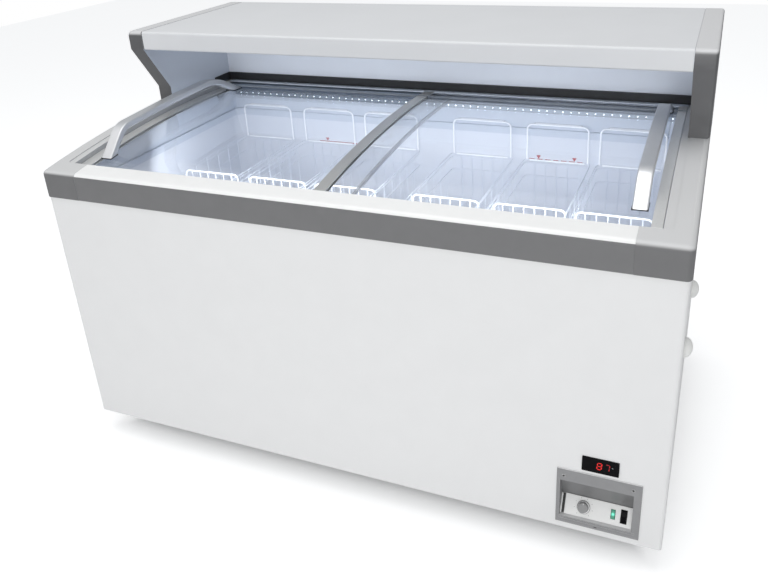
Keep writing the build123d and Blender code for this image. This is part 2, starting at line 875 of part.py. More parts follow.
# Wire basket that hangs by two loops from the ledge, with a wire divider across it
basket_top = ledge_height - basket_drop
basket_floor = basket_top - basket_height
basket_front = skirt_front + basket_play
basket_back = skirt_back - basket_play
basket_length = basket_back - basket_front
basket_middle = (basket_front + basket_back) / 2
with BuildPart() as basket:
    with BuildSketch(Plane.XY.offset(basket_top - wire), Plane.XY.offset(basket_top - ring_drop)):
        with Locations((0, basket_middle)):
            Rectangle(basket_width, basket_length)
            Rectangle(basket_width - 2 * wire, basket_length - 2 * wire, mode=Mode.SUBTRACT)
    extrude(amount=wire)
    rib_pitch = (basket_length - 4 * wire) / (cross_ribs - 1)
    rib_places = [basket_front + 2.5 * wire + rib_pitch * n - wire / 2 for n in range(cross_ribs)]
    with BuildSketch(*[Plane.XZ.offset(-y) for y in rib_places]):
        with Locations((0, basket_floor)):
            Rectangle(basket_width - 2 * wire, basket_height, align=(Align.CENTER, Align.MIN))
        with Locations((0, basket_floor + wire)):
            Rectangle(
                basket_width - 4 * wire, basket_height, align=(Align.CENTER, Align.MIN), mode=Mode.SUBTRACT
            )
    extrude(amount=wire)
    long_pitch = (basket_width - 2 * wire) / (long_ribs + 1)
    long_places = [long_pitch * (n - (long_ribs - 1) / 2) for n in range(long_ribs)]
    with BuildSketch(*[Plane.YZ.offset(x - wire / 2) for x in long_places]):
        with Locations((basket_middle, basket_floor - wire)):
            Rectangle(basket_length - 2 * wire, basket_height + wire, align=(Align.CENTER, Align.MIN))
        with Locations((basket_middle, basket_floor)):
            Rectangle(
                basket_length - 4 * wire, basket_height, align=(Align.CENTER, Align.MIN), mode=Mode.SUBTRACT
            )
    extrude(amount=wire)
    for end, way in ((basket_front, -1), (basket_back, 1)):
        with BuildSketch(Plane.XZ.offset(-end if way > 0 else -end - wire)):
            with Locations((0, basket_top - wire)):
                Rectangle(
                    basket_width - 2 * loop_inset, basket_drop + 2 * wire, align=(Align.CENTER, Align.MIN)
                )
                Rectangle(
                    basket_width - 2 * loop_inset - 2 * wire,
                    basket_drop + 2 * wire,
                    align=(Align.CENTER, Align.MIN),
                    mode=Mode.SUBTRACT,
                )
        extrude(amount=wire)
        with BuildSketch(Plane.XY.offset(ledge_height)):
            with Locations((0, end - way * wire)):
                Rectangle(
                    basket_width - 2 * loop_inset,
                    ledge_width + wire,
                    align=(Align.CENTER, Align.MIN if way > 0 else Align.MAX),
                )
                Rectangle(
                    basket_width - 2 * loop_inset - 2 * wire,
                    ledge_width,
                    align=(Align.CENTER, Align.MIN if way > 0 else Align.MAX),
                    mode=Mode.SUBTRACT,
                )
        extrude(amount=wire)
    with BuildSketch(Plane.XZ.offset(-(front + divider_setback))):
        with Locations((0, basket_floor + wire)):
            Rectangle(
                basket_width - 2 * wire, basket_height - wire, align=(Align.CENTER, Align.MIN)
            )
            with Locations((0, wire)):
                Rectangle(
                    basket_width - 4 * wire,
                    basket_height - 3 * wire,
                    align=(Align.CENTER, Align.MIN),
                    mode=Mode.SUBTRACT,
                )
        with Locations((0, basket_floor + wire + basket_height / 2)):
            with GridLocations((basket_width - 2 * wire) / (divider_bars + 1), 1, divider_bars, 1):
                Rectangle(wire, basket_height - 2 * wire)
    extrude(amount=-wire)
for number, centre in enumerate(basket_centres, 1):
    placed = Pos(centre, 0, 0) * basket.part
    placed.label = f"basket_{number}"
    export_step(placed, f"parts/basket_{number}.step")

# Temperature display, clipped into the front sheet
with BuildPart() as display_module:
    with BuildSketch(Plane.XZ.offset(-shell_front)):
        with Locations((display_x, display_z)):
            RectangleRounded(display_width, display_height, display_lip)
    extrude(amount=display_lip)
    with BuildSketch(Plane.XZ.offset(-shell_front)):
        with Locations((display_x, display_z)):
            Rectangle(display_cut_width - 2 * seam, display_cut_height - 2 * seam)
    extrude(amount=-display_body)
    with BuildSketch(Plane.XZ.offset(-shell_front + display_lip)):
        with Locations((display_x, display_z)):
            Rectangle(window_width, window_height)
    extrude(amount=-window_depth, mode=Mode.SUBTRACT)
display_module.part.label = "display_module"
export_step(display_module.part, "parts/display_module.step")

with BuildPart() as display_window:
    with BuildSketch(Plane.XZ.offset(-shell_front + display_lip)):
        with Locations((display_x, display_z)):
            Rectangle(window_width, window_height)
    extrude(amount=-window_depth)
display_window.part.label = "display_window"
export_step(display_window.part, "parts/display_window.step")

# Moulded bezel: a flange on the front sheet and a trough that leans in from the top, then out
# again towards its foot, with a window behind the plate
valley = (shell_front + trough_depth, opening_top - trough_drop)
foot = (shell_front + plate_foot, opening_foot)
plate_height = sqrt((valley[0] - foot[0]) ** 2 + (valley[1] - foot[1]) ** 2)
plate_up = Vector(0, valley[0] - foot[0], valley[1] - foot[1]).normalized()
plate_out = Vector(0, -plate_up.Z, plate_up.Y)
panel = Plane(origin=Vector(control_x, *foot) + plate_out * plate_sheet, x_dir=(1, 0, 0), z_dir=plate_out)
control_row = plate_height / 2
with BuildPart() as control_bezel:
    with BuildSketch(Plane.XZ.offset(-shell_front)):
        with Locations((control_x, control_z)):
            RectangleRounded(bezel_width, bezel_height, bezel_lip)
    extrude(amount=bezel_lip)
    with BuildSketch(Plane.YZ.offset(opening_x - opening_width / 2 - box_wall)):
        with BuildLine():
            Polyline((shell_front, opening_top), valley, foot, (shell_front, opening_foot), close=True)
        make_face()
        offset(amount=box_wall, kind=Kind.INTERSECTION)
        with Locations((shell_front, opening_top - opening_height / 2)):
            Rectangle(
                bezel_height,
                opening_height + 2 * box_wall,
                align=(Align.MIN, Align.CENTER),
                mode=Mode.INTERSECT,
            )
    extrude(amount=opening_width + 2 * box_wall)
    with BuildSketch(Plane.YZ.offset(opening_x - opening_width / 2)):
        with BuildLine():
            Polyline(
                (front - bezel_height, opening_top),
                (shell_front, opening_top),
                valley,
                foot,
                (front - bezel_height, opening_foot),
                close=True,
            )
        make_face()
    extrude(amount=opening_width, mode=Mode.SUBTRACT)
    with BuildSketch(panel):
        with Locations((0, plate_height / 2)):
            Rectangle(plate_width - 2 * plate_rest, plate_height - 2 * plate_rest)
    extrude(amount=2 * (plate_sheet + box_wall), both=True, mode=Mode.SUBTRACT)
    chamfer(control_bezel.faces().sort_by(Axis.Y)[0].outer_wire().edges(), bezel_lip / 2)
control_bezel.part.label = "control_bezel"
export_step(control_bezel.part, "parts/control_bezel.step")

# White plate that carries the controls
with BuildPart() as faceplate:
    with BuildSketch(panel):
        with Locations((0, plate_height / 2)):
            Rectangle(plate_width, plate_height)
        with Locations((knob_x, control_row)):
            Circle(bushing_radius + seam, mode=Mode.SUBTRACT)
        with Locations((lamp_x, control_row)):
            Rectangle(lamp_width, lamp_height, mode=Mode.SUBTRACT)
        with Locations((rocker_x, control_row)):
            Rectangle(rocker_width, rocker_height, mode=Mode.SUBTRACT)
    extrude(amount=-plate_sheet)
faceplate.part.label = "faceplate"
export_step(faceplate.part, "parts/faceplate.step")

# Thermostat behind the plate, with the bushing and shaft that carry the knob
with BuildPart() as thermostat_body:
    with BuildSketch(panel.offset(-plate_sheet)):
        with Locations((knob_x, control_row)):
            Rectangle(thermostat_width, thermostat_height)
    extrude(amount=-thermostat_depth)
    with BuildSketch(panel.offset(-plate_sheet)):
        with Locations((knob_x, control_row)):
            Circle(bushing_radius)
    extrude(amount=plate_sheet)
    with BuildSketch(panel):
        with Locations((knob_x, control_row)):
            Circle(shaft_radius)
    extrude(amount=knob_height - knob_skirt)
thermostat_body.part.label = "thermostat_body"
export_step(thermostat_body.part, "parts/thermostat_body.step")

# Knob with a pointer rib across its face
with BuildPart() as thermostat_knob:
    with BuildSketch(panel.offset(seam)):
        with Locations((knob_x, control_row)):
            RegularPolygon(knob_radius, 2 * round_facets)
    extrude(amount=knob_skirt)
    with BuildSketch(panel.offset(seam + knob_skirt)):
        with Locations((knob_x, control_row)):
            RegularPolygon(knob_radius * 0.85, 2 * round_facets)
    extrude(amount=knob_height - knob_skirt, taper=6)
    with BuildSketch(panel.offset(seam + knob_height)):
        with Locations((knob_x, control_row + knob_radius * 0.35)):
            Rectangle(knob_skirt, knob_radius * 0.8)
    extrude(amount=1)
    with BuildSketch(panel.offset(seam)):
        with Locations((knob_x, control_row)):
            Circle(shaft_radius + running_fit)
    extrude(amount=knob_height - knob_skirt, mode=Mode.SUBTRACT)
thermostat_knob.part.label = "thermostat_knob"
export_step(thermostat_knob.part, "parts/thermostat_knob.step")

with BuildPart() as pilot_lamp:
    with BuildSketch(panel.offset(-lamp_depth)):
        with Locations((lamp_x, control_row)):
            Rectangle(lamp_width - 2 * seam, lamp_height - 2 * seam)
    extrude(amount=lamp_depth + lamp_stand)
    chamfer(pilot_lamp.faces().sort_by(Axis(panel.origin, plate_out))[-1].edges(), lamp_stand / 2)
pilot_lamp.part.label = "pilot_lamp"
export_step(pilot_lamp.part, "parts/pilot_lamp.step")

# Switch: a frame let into the plate and the rocker on its pivot
rocker_half = rocker_width / 2 - rocker_frame - rocker_play
pivot_half = rocker_half + rocker_play + rocker_frame / 2
pivot_plane = Plane(
    origin=panel.from_local_coords((rocker_x, control_row, -rocker_stand)), x_dir=plate_up, z_dir=(1, 0, 0)
)
with BuildPart() as rocker_housing:
    with BuildSketch(panel.offset(-rocker_depth)):
        with Locations((rocker_x, control_row)):
            Rectangle(rocker_width - 2 * seam, rocker_height - 2 * seam)
    extrude(amount=rocker_depth + 1)
    with BuildSketch(panel.offset(-rocker_depth + rocker_frame)):
        with Locations((rocker_x, control_row)):
            Rectangle(rocker_width - 2 * rocker_frame, rocker_height - 2 * rocker_frame)
    extrude(amount=2 * rocker_depth, mode=Mode.SUBTRACT)
    with BuildSketch(pivot_plane):
        Circle(pivot_radius + running_fit)
    extrude(amount=pivot_half, both=True, mode=Mode.SUBTRACT)
rocker_housing.part.label = "rocker_housing"
export_step(rocker_housing.part, "parts/rocker_housing.step")

with BuildPart() as power_rocker:
    rocker_reach = rocker_height / 2 - rocker_frame - 5 * rocker_play
    with BuildSketch(pivot_plane):
        with BuildLine():
            Polyline(
                (-rocker_reach, 0),
                (0, -2 * rocker_stand),
                (rocker_reach, 0),
                (rocker_reach, rocker_stand + 1),
                (0, rocker_stand + rocker_play),
                (-rocker_reach, 2 * rocker_stand + 1),
                close=True,
            )
        make_face()
    extrude(amount=rocker_half, both=True)
    with BuildSketch(pivot_plane):
        Circle(pivot_radius)
    extrude(amount=pivot_half, both=True)
power_rocker.part.label = "power_rocker"
export_step(power_rocker.part, "parts/power_rocker.step")

# Hermetic compressor on its mounting plate and rubber feet
with BuildPart() as compressor:
    with BuildSketch(Plane.XY.offset(pan_top + foot_height)):
        with Locations((compressor_x, compressor_y)):
            Rectangle(2 * (foot_spread + foot_radius), 2 * (foot_spread + foot_radius) * 0.8)
    extrude(amount=plate_thickness)
    with BuildSketch(Plane.XY.offset(pan_top)):
        with Locations((compressor_x, compressor_y)):
            with GridLocations(2 * foot_spread, 1.6 * foot_spread, 2, 2):
                RegularPolygon(foot_radius, 8)
    extrude(amount=foot_height)
    with BuildSketch(Plane.XY.offset(pan_top + foot_height + plate_thickness)):
        with Locations((compressor_x, compressor_y)):
            RegularPolygon(compressor_radius, round_facets)
    extrude(amount=compressor_height)
    for shoulder in (compressor_dome, compressor_dome / 3):
        chamfer(compressor.faces().sort_by(Axis.Z)[-1].edges(), shoulder)
compressor.part.label = "compressor"
export_step(compressor.part, "parts/compressor.step")

# Finned condenser: plates on straight tubes
with BuildPart() as condenser:
    fin_pitch = (condenser_width - fin_sheet) / (fin_count - 1)
    fin_places = [condenser_x - condenser_width / 2 + fin_pitch * n for n in range(fin_count)]
    with BuildSketch(*[Plane.YZ.offset(x) for x in fin_places]):
        with Locations((condenser_y, pan_top)):
            Rectangle(condenser_depth, condenser_height, align=(Align.CENTER, Align.MIN))
    extrude(amount=fin_sheet)
    with BuildSketch(Plane.YZ.offset(condenser_x - condenser_width / 2 - tube_radius)):
        with Locations((condenser_y, pan_top + condenser_height / 2)):
            with GridLocations(condenser_depth / 2, condenser_height / tube_rows, 2, tube_rows):
                RegularPolygon(tube_radius, 6)
    extrude(amount=condenser_width + 2 * tube_radius)
condenser.part.label = "condenser"
export_step(condenser.part, "parts/condenser.step")

# Fan behind the condenser: shroud with guard bars, motor and blades
fan_z = pan_top + condenser_height / 2
shroud_front = condenser_y + condenser_depth / 2
fan_plane = Plane.XZ.offset(-(shroud_front + shroud_depth))
with BuildPart() as fan_guard:
    with BuildSketch(fan_plane):
        with Locations((condenser_x, fan_z)):
            Rectangle(condenser_width, condenser_height)
            Circle(fan_radius + shroud_play, mode=Mode.SUBTRACT)
    extrude(amount=shroud_depth)
    with BuildSketch(fan_plane):
        with Locations((condenser_x, fan_z)):
            with PolarLocations(0, guard_bars):
                Rectangle(2 * (fan_radius + 2 * shroud_play), 2 * fin_sheet + 2)
            RegularPolygon(motor_radius, round_facets)
    extrude(amount=-plate_thickness)
fan_guard.part.label = "fan_guard"
export_step(fan_guard.part, "parts/fan_guard.step")

with BuildPart() as fan_motor:
    with BuildSketch(fan_plane.offset(-plate_thickness)):
        with Locations((condenser_x, fan_z)):
            RegularPolygon(motor_radius, round_facets)
    extrude(amount=-motor_length)
    chamfer(fan_motor.faces().sort_by(Axis.Y)[-1].edges(), motor_round)
fan_motor.part.label = "fan_motor"
export_step(fan_motor.part, "parts/fan_motor.step")

with BuildPart() as fan_blades:
    with BuildSketch(fan_plane.offset(seam)):
        with Locations((condenser_x, fan_z)):
            Circle(blade_root)
    extrude(amount=hub_length - 2 * seam)
    blade_plane = Plane(
        origin=(condenser_x, shroud_front + shroud_depth / 2, fan_z), x_dir=(0, 1, 0), z_dir=(1, 0, 0)
    )
    with BuildSketch(blade_plane.offset(blade_root - fin_sheet)):
        Rectangle(blade_sheet, blade_chord, rotation=blade_pitch)
    blade = extrude(amount=fan_radius - blade_root, mode=Mode.PRIVATE)
    fan_axis = Axis((condenser_x, 0, fan_z), (0, 1, 0))
    for n in range(blade_count):
        add(blade.rotate(fan_axis, 360 / blade_count * n))
fan_blades.part.label = "fan_blades"
export_step(fan_blades.part, "parts/fan_blades.step")

# Discharge and suction lines
with BuildPart() as pipework:
    pipe_level = pan_top + foot_height + compressor_height / 2
    pot_side = compressor_x + compressor_radius
    pipe_x = condenser_x + condenser_width / 2 + tube_radius + pipe_stand
    with BuildLine():
        FilletPolyline(
            (pot_side, compressor_y, pipe_level),
            (pipe_x, compressor_y, pipe_level),
            (pipe_x, condenser_y, pipe_level),
            (pipe_x - pipe_stand, condenser_y, pipe_level),
            radius=pipe_bend,
        )
    with BuildSketch(Plane(origin=(pot_side, compressor_y, pipe_level), z_dir=(1, 0, 0))):
        RegularPolygon(pipe_radius, 6)
    sweep()
pipework.part.label = "pipework"
export_step(pipework.part, "parts/pipework.step")

# Domed buffers on the right side, each in two tapered steps
with BuildPart() as buffers:
    for start, end in ((0, 30), (30, 60)):
        start_reach = buffer_height * sin(radians(start)) / sin(radians(60))
        step = buffer_height * sin(radians(end)) / sin(radians(60)) - start_reach
        start_radius = buffer_radius * cos(radians(start))
        shrink = start_radius - buffer_radius * cos(radians(end))
        with BuildSketch(Plane.YZ.offset(shell_half + start_reach)):
            with Locations((front + buffer_front, buffer_z)):
                with GridLocations(buffer_pitch, 1, 2, 1, align=(Align.MIN, Align.CENTER)):
                    RegularPolygon(start_radius, round_facets)
        extrude(amount=step, taper=degrees(atan2(shrink, step)))
buffers.part.label = "buffers"
export_step(buffers.part, "parts/buffers.step")

# Castors: swivelling fork with kingpin and axle, wheel with raised hubs
fork_top = castor_height - castor_plate_sheet - race_height - race_play
places = {"front_left": (-1, -1), "front_right": (1, -1), "rear_left": (-1, 1), "rear_right": (1, 1)}
for place, (side, end) in places.items():
    x = side * castor_x
    y = end * castor_y
    cheek = wheel_width / 2 + fork_play
    with BuildPart() as castor_fork:
        with BuildSketch(Plane.XY.offset(fork_top - fork_sheet)):
            with Locations((x, y)):
                RegularPolygon(race_radius, round_facets)
        extrude(amount=fork_sheet)
        with BuildSketch(Plane.XY.offset(fork_top)):
            with Locations((x, y)):
                Circle(kingpin_radius)
        extrude(amount=race_height)
        with BuildSketch(Plane.YZ.offset(x + cheek), Plane.YZ.offset(x - cheek - fork_sheet)):
            with BuildLine():
                Polyline(
                    (y - race_radius * 0.6, fork_top),
                    (y + race_radius * 0.8, fork_top),
                    (y + trail + hub_radius, wheel_radius),
                    (y + trail - hub_radius, wheel_radius),
                    close=True,
                )
            make_face()
            with Locations((y + trail, wheel_radius)):
                RegularPolygon(hub_radius, 12)
        extrude(amount=fork_sheet)
        with BuildSketch(Plane.YZ.offset(x - cheek)):
            with Locations((y + trail, wheel_radius)):
                Circle(axle_radius)
        extrude(amount=2 * cheek)
    castor_fork.part.label = f"castor_fork_{place}"
    export_step(castor_fork.part, f"parts/castor_fork_{place}.step")
    with BuildPart() as castor_wheel:
        with BuildSketch(Plane.YZ.offset(x - wheel_width / 2)):
            with Locations((y + trail, wheel_radius)):
                RegularPolygon(wheel_radius, 2 * round_facets)
        extrude(amount=wheel_width)
        chamfer(castor_wheel.faces().filter_by(Axis.X).edges(), wheel_width / 7)
        with BuildSketch(Plane.YZ.offset(x - wheel_width / 2)):
            with Locations((y + trail, wheel_radius)):
                Circle(axle_radius + running_fit)
        extrude(amount=wheel_width, mode=Mode.SUBTRACT)
    castor_wheel.part.label = f"castor_wheel_{place}"
    export_step(castor_wheel.part, f"parts/castor_wheel_{place}.step")
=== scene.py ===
import bpy
import bmesh
import json
from math import sin, cos, sqrt, pi, radians
from mathutils import Vector, Matrix


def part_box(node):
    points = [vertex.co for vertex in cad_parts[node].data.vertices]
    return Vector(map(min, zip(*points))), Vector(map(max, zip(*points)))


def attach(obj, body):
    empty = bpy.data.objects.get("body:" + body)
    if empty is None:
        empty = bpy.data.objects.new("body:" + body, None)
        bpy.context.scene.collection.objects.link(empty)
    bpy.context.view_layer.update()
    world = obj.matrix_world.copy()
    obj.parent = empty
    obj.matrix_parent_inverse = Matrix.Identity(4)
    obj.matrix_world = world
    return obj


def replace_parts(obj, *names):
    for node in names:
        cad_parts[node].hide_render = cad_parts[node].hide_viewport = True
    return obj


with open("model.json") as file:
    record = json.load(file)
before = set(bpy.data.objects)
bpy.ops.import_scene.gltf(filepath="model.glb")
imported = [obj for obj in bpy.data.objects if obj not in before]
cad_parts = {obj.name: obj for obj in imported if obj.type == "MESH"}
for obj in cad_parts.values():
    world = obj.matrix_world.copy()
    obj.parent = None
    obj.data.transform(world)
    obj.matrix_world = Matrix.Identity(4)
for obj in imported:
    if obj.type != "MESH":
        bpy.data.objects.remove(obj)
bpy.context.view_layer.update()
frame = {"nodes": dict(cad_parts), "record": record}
nodes = frame["nodes"]
print("freezer loaded:", len(nodes), "nodes")


# camera, set up from the straight edges of the cabinet; angles in radians
viewPoint = {
    "place": (0.755, -1.72034, 1.40675),
    "turn": 0.40062455,  # to the left of straight ahead
    "tip": 0.40711447,  # below the horizon
    "lean": -0.05297861,
    "sensor": 36, "lens": 36.066, "shiftX": -0.03107, "shiftY": -0.10880,
    "farthest": 50,
}


def setCamera(view):
    turn, tip, lean = view["turn"], view["tip"], view["lean"]
    ahead = Vector((-sin(turn) * cos(tip), cos(turn) * cos(tip), -sin(tip)))
    level = Vector((cos(turn), sin(turn), 0))
    upright = level.cross(ahead)
    across = cos(lean) * level + sin(lean) * upright
    above = -sin(lean) * level + cos(lean) * upright
    turned = Matrix((across, above, -ahead)).transposed().to_4x4()
    data = bpy.data.cameras.new("camera")
    data.sensor_width = view["sensor"]
    data.lens = view["lens"]
    data.shift_x = view["shiftX"]
    data.shift_y = view["shiftY"]
    data.clip_end = view["farthest"]
    camera = bpy.data.objects.new("camera", data)
    camera.matrix_world = Matrix.Translation(view["place"]) @ turned
    bpy.context.scene.collection.objects.link(camera)
    bpy.context.scene.camera = camera


setCamera(viewPoint)
bpy.context.scene.view_settings.view_transform = "Standard"


# shared by all node trees
def addNode(tree, kind, inputs=None, **settings):
    node = tree.nodes.new("ShaderNode" + kind)
    for key, value in settings.items():
        setattr(node, key, value)
    setInputs(node, inputs or {})
    return node


def setInputs(node, values):
    for key, value in values.items():
        node.inputs[key].default_value = value


def link(source, output, target, socket):
    source.id_data.links.new(source.outputs[output], target.inputs[socket])


def newMaterial(name, inputs):
    mat = bpy.data.materials.new(name)
    mat.use_nodes = True
    shader = mat.node_tree.nodes["Principled BSDF"]
    setInputs(shader, inputs)
    return mat, mat.node_tree, shader


# studio: white sweep, one large soft lamp overhead, one low fill from the front
studio = {
    "skyColour": (0.96, 0.98, 1, 1), "skyLevel": 0.54,
    "floorSize": 14.0, "floorWhite": 0.94, "floorRough": 0.9, "floorShine": 0.1, "floorGlow": 0.42,
    # the glow fades out under the cabinet, so that the floor keeps its shadow; the fade follows the footprint, not
    # the lamps, so the darker floor there is painted shadow
    "shadowHalf": {"X": 0.75, "Y": 0.44}, "fadeStart": -0.10, "fadeEnd": -0.025,
    "lamps": {
        "overhead": {"place": (-0.2, -0.5, 3.8), "aim": (0, 0, 0.6), "size": 3.0, "power": 46},
        "front": {"place": (0.6, -4.6, 1.7), "aim": (0, -0.1, 0.6), "size": 3.2, "power": 63},
    },
}


def setWorld(colour, level):
    # white to the camera, a plain soft light for all else
    world = bpy.data.worlds.new("studio")
    bpy.context.scene.world = world
    world.use_nodes = True
    tree = world.node_tree
    tree.nodes.clear()
    out = addNode(tree, "OutputWorld")
    seen = addNode(tree, "Background", {"Color": (1, 1, 1, 1), "Strength": 1})
    light = addNode(tree, "Background", {"Color": colour, "Strength": level})
    path = addNode(tree, "LightPath")
    mix = addNode(tree, "MixShader")
    link(path, "Is Camera Ray", mix, "Fac")
    link(light, 0, mix, 1)
    link(seen, 0, mix, 2)
    link(mix, 0, out, "Surface")


def addLamp(name, spec):
    # a round lamp, or an oblong one where a height is given
    data = bpy.data.lights.new(name, "AREA")
    data.shape = "RECTANGLE" if "height" in spec else "DISK"
    data.size = spec["size"]
    data.size_y = spec.get("height", spec["size"])
    data.energy = spec["power"]
    data.color = spec.get("colour", (1, 1, 1))
    lamp = bpy.data.objects.new(name, data)
    lamp.location = spec["place"]
    aim = Vector(spec["aim"]) - Vector(spec["place"])
    lamp.rotation_mode = "QUATERNION"
    lamp.rotation_quaternion = aim.to_track_quat("-Z", "Y")
    bpy.context.scene.collection.objects.link(lamp)
    return lamp


def floorFinish(spec):
    white = spec["floorWhite"]
    mat, tree, shader = newMaterial("floorWhite", {
        "Base Color": (white, white, white, 1), "Roughness": spec["floorRough"],
        "Specular IOR Level": spec["floorShine"], "Emission Color": (1, 1, 1, 1),
    })
    path = addNode(tree, "LightPath")
    lift = addNode(tree, "Math", {1: spec["floorGlow"]}, operation="MULTIPLY")
    where = addNode(tree, "TexCoord")
    split = addNode(tree, "SeparateXYZ")
    # painted shadow: the glow fades by how far a point lies inside the cabinet's footprint
    outside = addNode(tree, "Math", operation="MAXIMUM")
    fade = addNode(tree, "MapRange", {"From Min": spec["fadeStart"], "From Max": spec["fadeEnd"]},
                   interpolation_type="SMOOTHSTEP")
    total = addNode(tree, "Math", operation="MULTIPLY")
    link(path, "Is Camera Ray", lift, 0)
    link(where, "Object", split, "Vector")
    for place, (axis, half) in enumerate(spec["shadowHalf"].items()):
        size = addNode(tree, "Math", operation="ABSOLUTE")
        past = addNode(tree, "Math", {1: half}, operation="SUBTRACT")
        link(split, axis, size, 0)
        link(size, 0, past, 0)
        link(past, 0, outside, place)
    link(outside, 0, fade, "Value")
    link(lift, 0, total, 0)
    link(fade, "Result", total, 1)
    link(total, 0, shader, "Emission Strength")
    return mat


def addFloor(spec):
    half = spec["floorSize"] / 2
    mesh = bpy.data.meshes.new("floor")
    mesh.from_pydata([(-half, -half, 0), (half, -half, 0), (half, half, 0), (-half, half, 0)], [], [(0, 1, 2, 3)])
    mesh.materials.append(floorFinish(spec))
    floor = bpy.data.objects.new("floor", mesh)
    bpy.context.scene.collection.objects.link(floor)


setWorld(studio["skyColour"], studio["skyLevel"])
for name, spec in studio["lamps"].items():
    addLamp(name, spec)
addFloor(studio)
print("camera, lamps and floor set")


# finishes: colour, roughness, how far the colour varies, fineness of that grain, relief, fineness of the relief
finishes = {
    "paintWhite": ((0.78, 0.78, 0.78), 0.42, 0.008, 14, 0.03, 700),
    # canopyWhite and panelWhite are the cabinet white in other tones: the canopy's painted darker, painted shade for
    # its top under the overhead lamp, and the rear panel's bluer, a painted cast of the cool light under the canopy
    "canopyWhite": ((0.70, 0.708, 0.722), 0.45, 0.01, 10, 0.03, 700),
    "panelWhite": ((0.70, 0.735, 0.80), 0.4, 0.01, 10, 0.02, 700),
    # leftCheek and rightCheek are one grey moulding in two tones: the right one is painted lighter, painted light
    "leftCheek": ((0.10, 0.10, 0.103), 0.45, 0.03, 30, 0.03, 1500),
    "rightCheek": ((0.14, 0.14, 0.143), 0.45, 0.03, 30, 0.03, 1500),
    "leftRim": ((0.155, 0.155, 0.158), 0.48, 0.03, 30, 0.05, 1500),
    "rightRim": ((0.155, 0.155, 0.158), 0.48, 0.03, 30, 0.05, 1500),
    "railGrey": ((0.165, 0.165, 0.168), 0.48, 0.03, 30, 0.05, 1500),
    # deckGrey is the rear rail's dark plastic painted a pale blue-grey: painted light and reflection, where the rail
    # lies in the canopy's shadow
    "deckGrey": ((0.62, 0.66, 0.72), 0.4, 0.05, 30, 0.03, 900),
    "stripWhite": ((0.88, 0.88, 0.87), 0.35, 0.01, 40, 0.01, 900),
    "blackPlastic": ((0.018, 0.019, 0.021), 0.5, 0.15, 60, 0.05, 1500),
    "trackGrey": ((0.16, 0.19, 0.24), 0.4, 0.05, 60, 0.04, 1500),
    "skirtGrey": ((0.55, 0.60, 0.69), 0.45, 0.03, 30, 0.03, 900),
    "foamCream": ((0.78, 0.72, 0.48), 0.9, 0.08, 90, 0.3, 400),
    "tankWhite": ((0.72, 0.75, 0.82), 0.4, 0.015, 9, 0.02, 300),
    # wireWhite, wireRung and wireFaint are one white wire coating: the rung and fill wires are painted darker and
    # bluer, painted shade
    "wireWhite": ((0.88, 0.90, 0.94), 0.25, 0.02, 200, 0.02, 900),
    "wireRung": ((0.82, 0.85, 0.91), 0.3, 0.02, 200, 0.02, 900),
    "wireFaint": ((0.74, 0.78, 0.86), 0.3, 0.02, 200, 0.02, 900),
    "profileMetal": ((0.56, 0.56, 0.55), 0.3, 0.03, 60, 0.01, 900),
    "paleMetal": ((0.72, 0.72, 0.71), 0.3, 0.03, 60, 0.01, 900),
    "handleSilver": ((0.56, 0.57, 0.59), 0.3, 0.02, 40),
    "clearTrim": ((0.46, 0.48, 0.52), 0.3, 0.05, 90),
    "lensWhite": ((0.34, 0.40, 0.48), 0.3, 0.01, 90),
    "sealSheenGrey": ((0.17, 0.19, 0.22), 0.3, 0.08, 60),
    "displayBlack": ((0.005, 0.005, 0.006), 0.3, 0.1, 90),
    "bezelGrey": ((0.265, 0.265, 0.27), 0.42, 0.03, 60, 0.05, 1600),
    "plateWhite": ((0.78, 0.78, 0.77), 0.4, 0.01, 40, 0.02, 900),
    "knobGrey": ((0.25, 0.25, 0.25), 0.4, 0.03, 90, 0.04, 900),
    "ringChrome": ((0.42, 0.42, 0.42), 0.25, 0.03, 90),
    # printAndShadeGrey serves the printed dial ticks and the painted shadow round the knob
    "printAndShadeGrey": ((0.30, 0.30, 0.30), 0.6, 0.1, 200),
    # shadeBlack is black for painted shade in gaps, seams and recesses
    "shadeBlack": ((0.02, 0.02, 0.02), 0.6, 0.1, 200),
    "inkPale": ((0.45, 0.50, 0.50), 0.5, 0.1, 200),
    "markRed": ((0.40, 0.015, 0.025), 0.5, 0.06, 200),
    "compressorBlack": ((0.02, 0.02, 0.02), 0.3, 0.1, 60, 0.08, 300),
    "copperPipe": ((0.62, 0.31, 0.19), 0.35, 0.08, 120, 0.02, 900),
    "finMetal": ((0.5, 0.51, 0.52), 0.4, 0.06, 200, 0.04, 900),
    "zincSteel": ((0.52, 0.53, 0.54), 0.35, 0.08, 120, 0.03, 900),
    "bufferWhite": ((0.84, 0.84, 0.82), 0.35, 0.015, 90, 0.02, 900),
    "tyreGrey": ((0.03, 0.03, 0.032), 0.7, 0.12, 120, 0.1, 900),
    "hubGrey": ((0.20, 0.20, 0.205), 0.5, 0.05, 120, 0.03, 900),
}

# what some finishes have besides: metal, brushing, a little painted glow, or other tones on faces turned one way,
# most of them painted highlight and painted shade
# capTopHighlight is painted highlight on the brackets' tops, capSideShade painted shade on their outer sides;
# innerCheek is a paler blue-grey on their inner faces
capTopHighlight, capSideShade, innerCheek = (0.64, 0.64, 0.645), (0.085, 0.087, 0.09), (0.56, 0.60, 0.67)
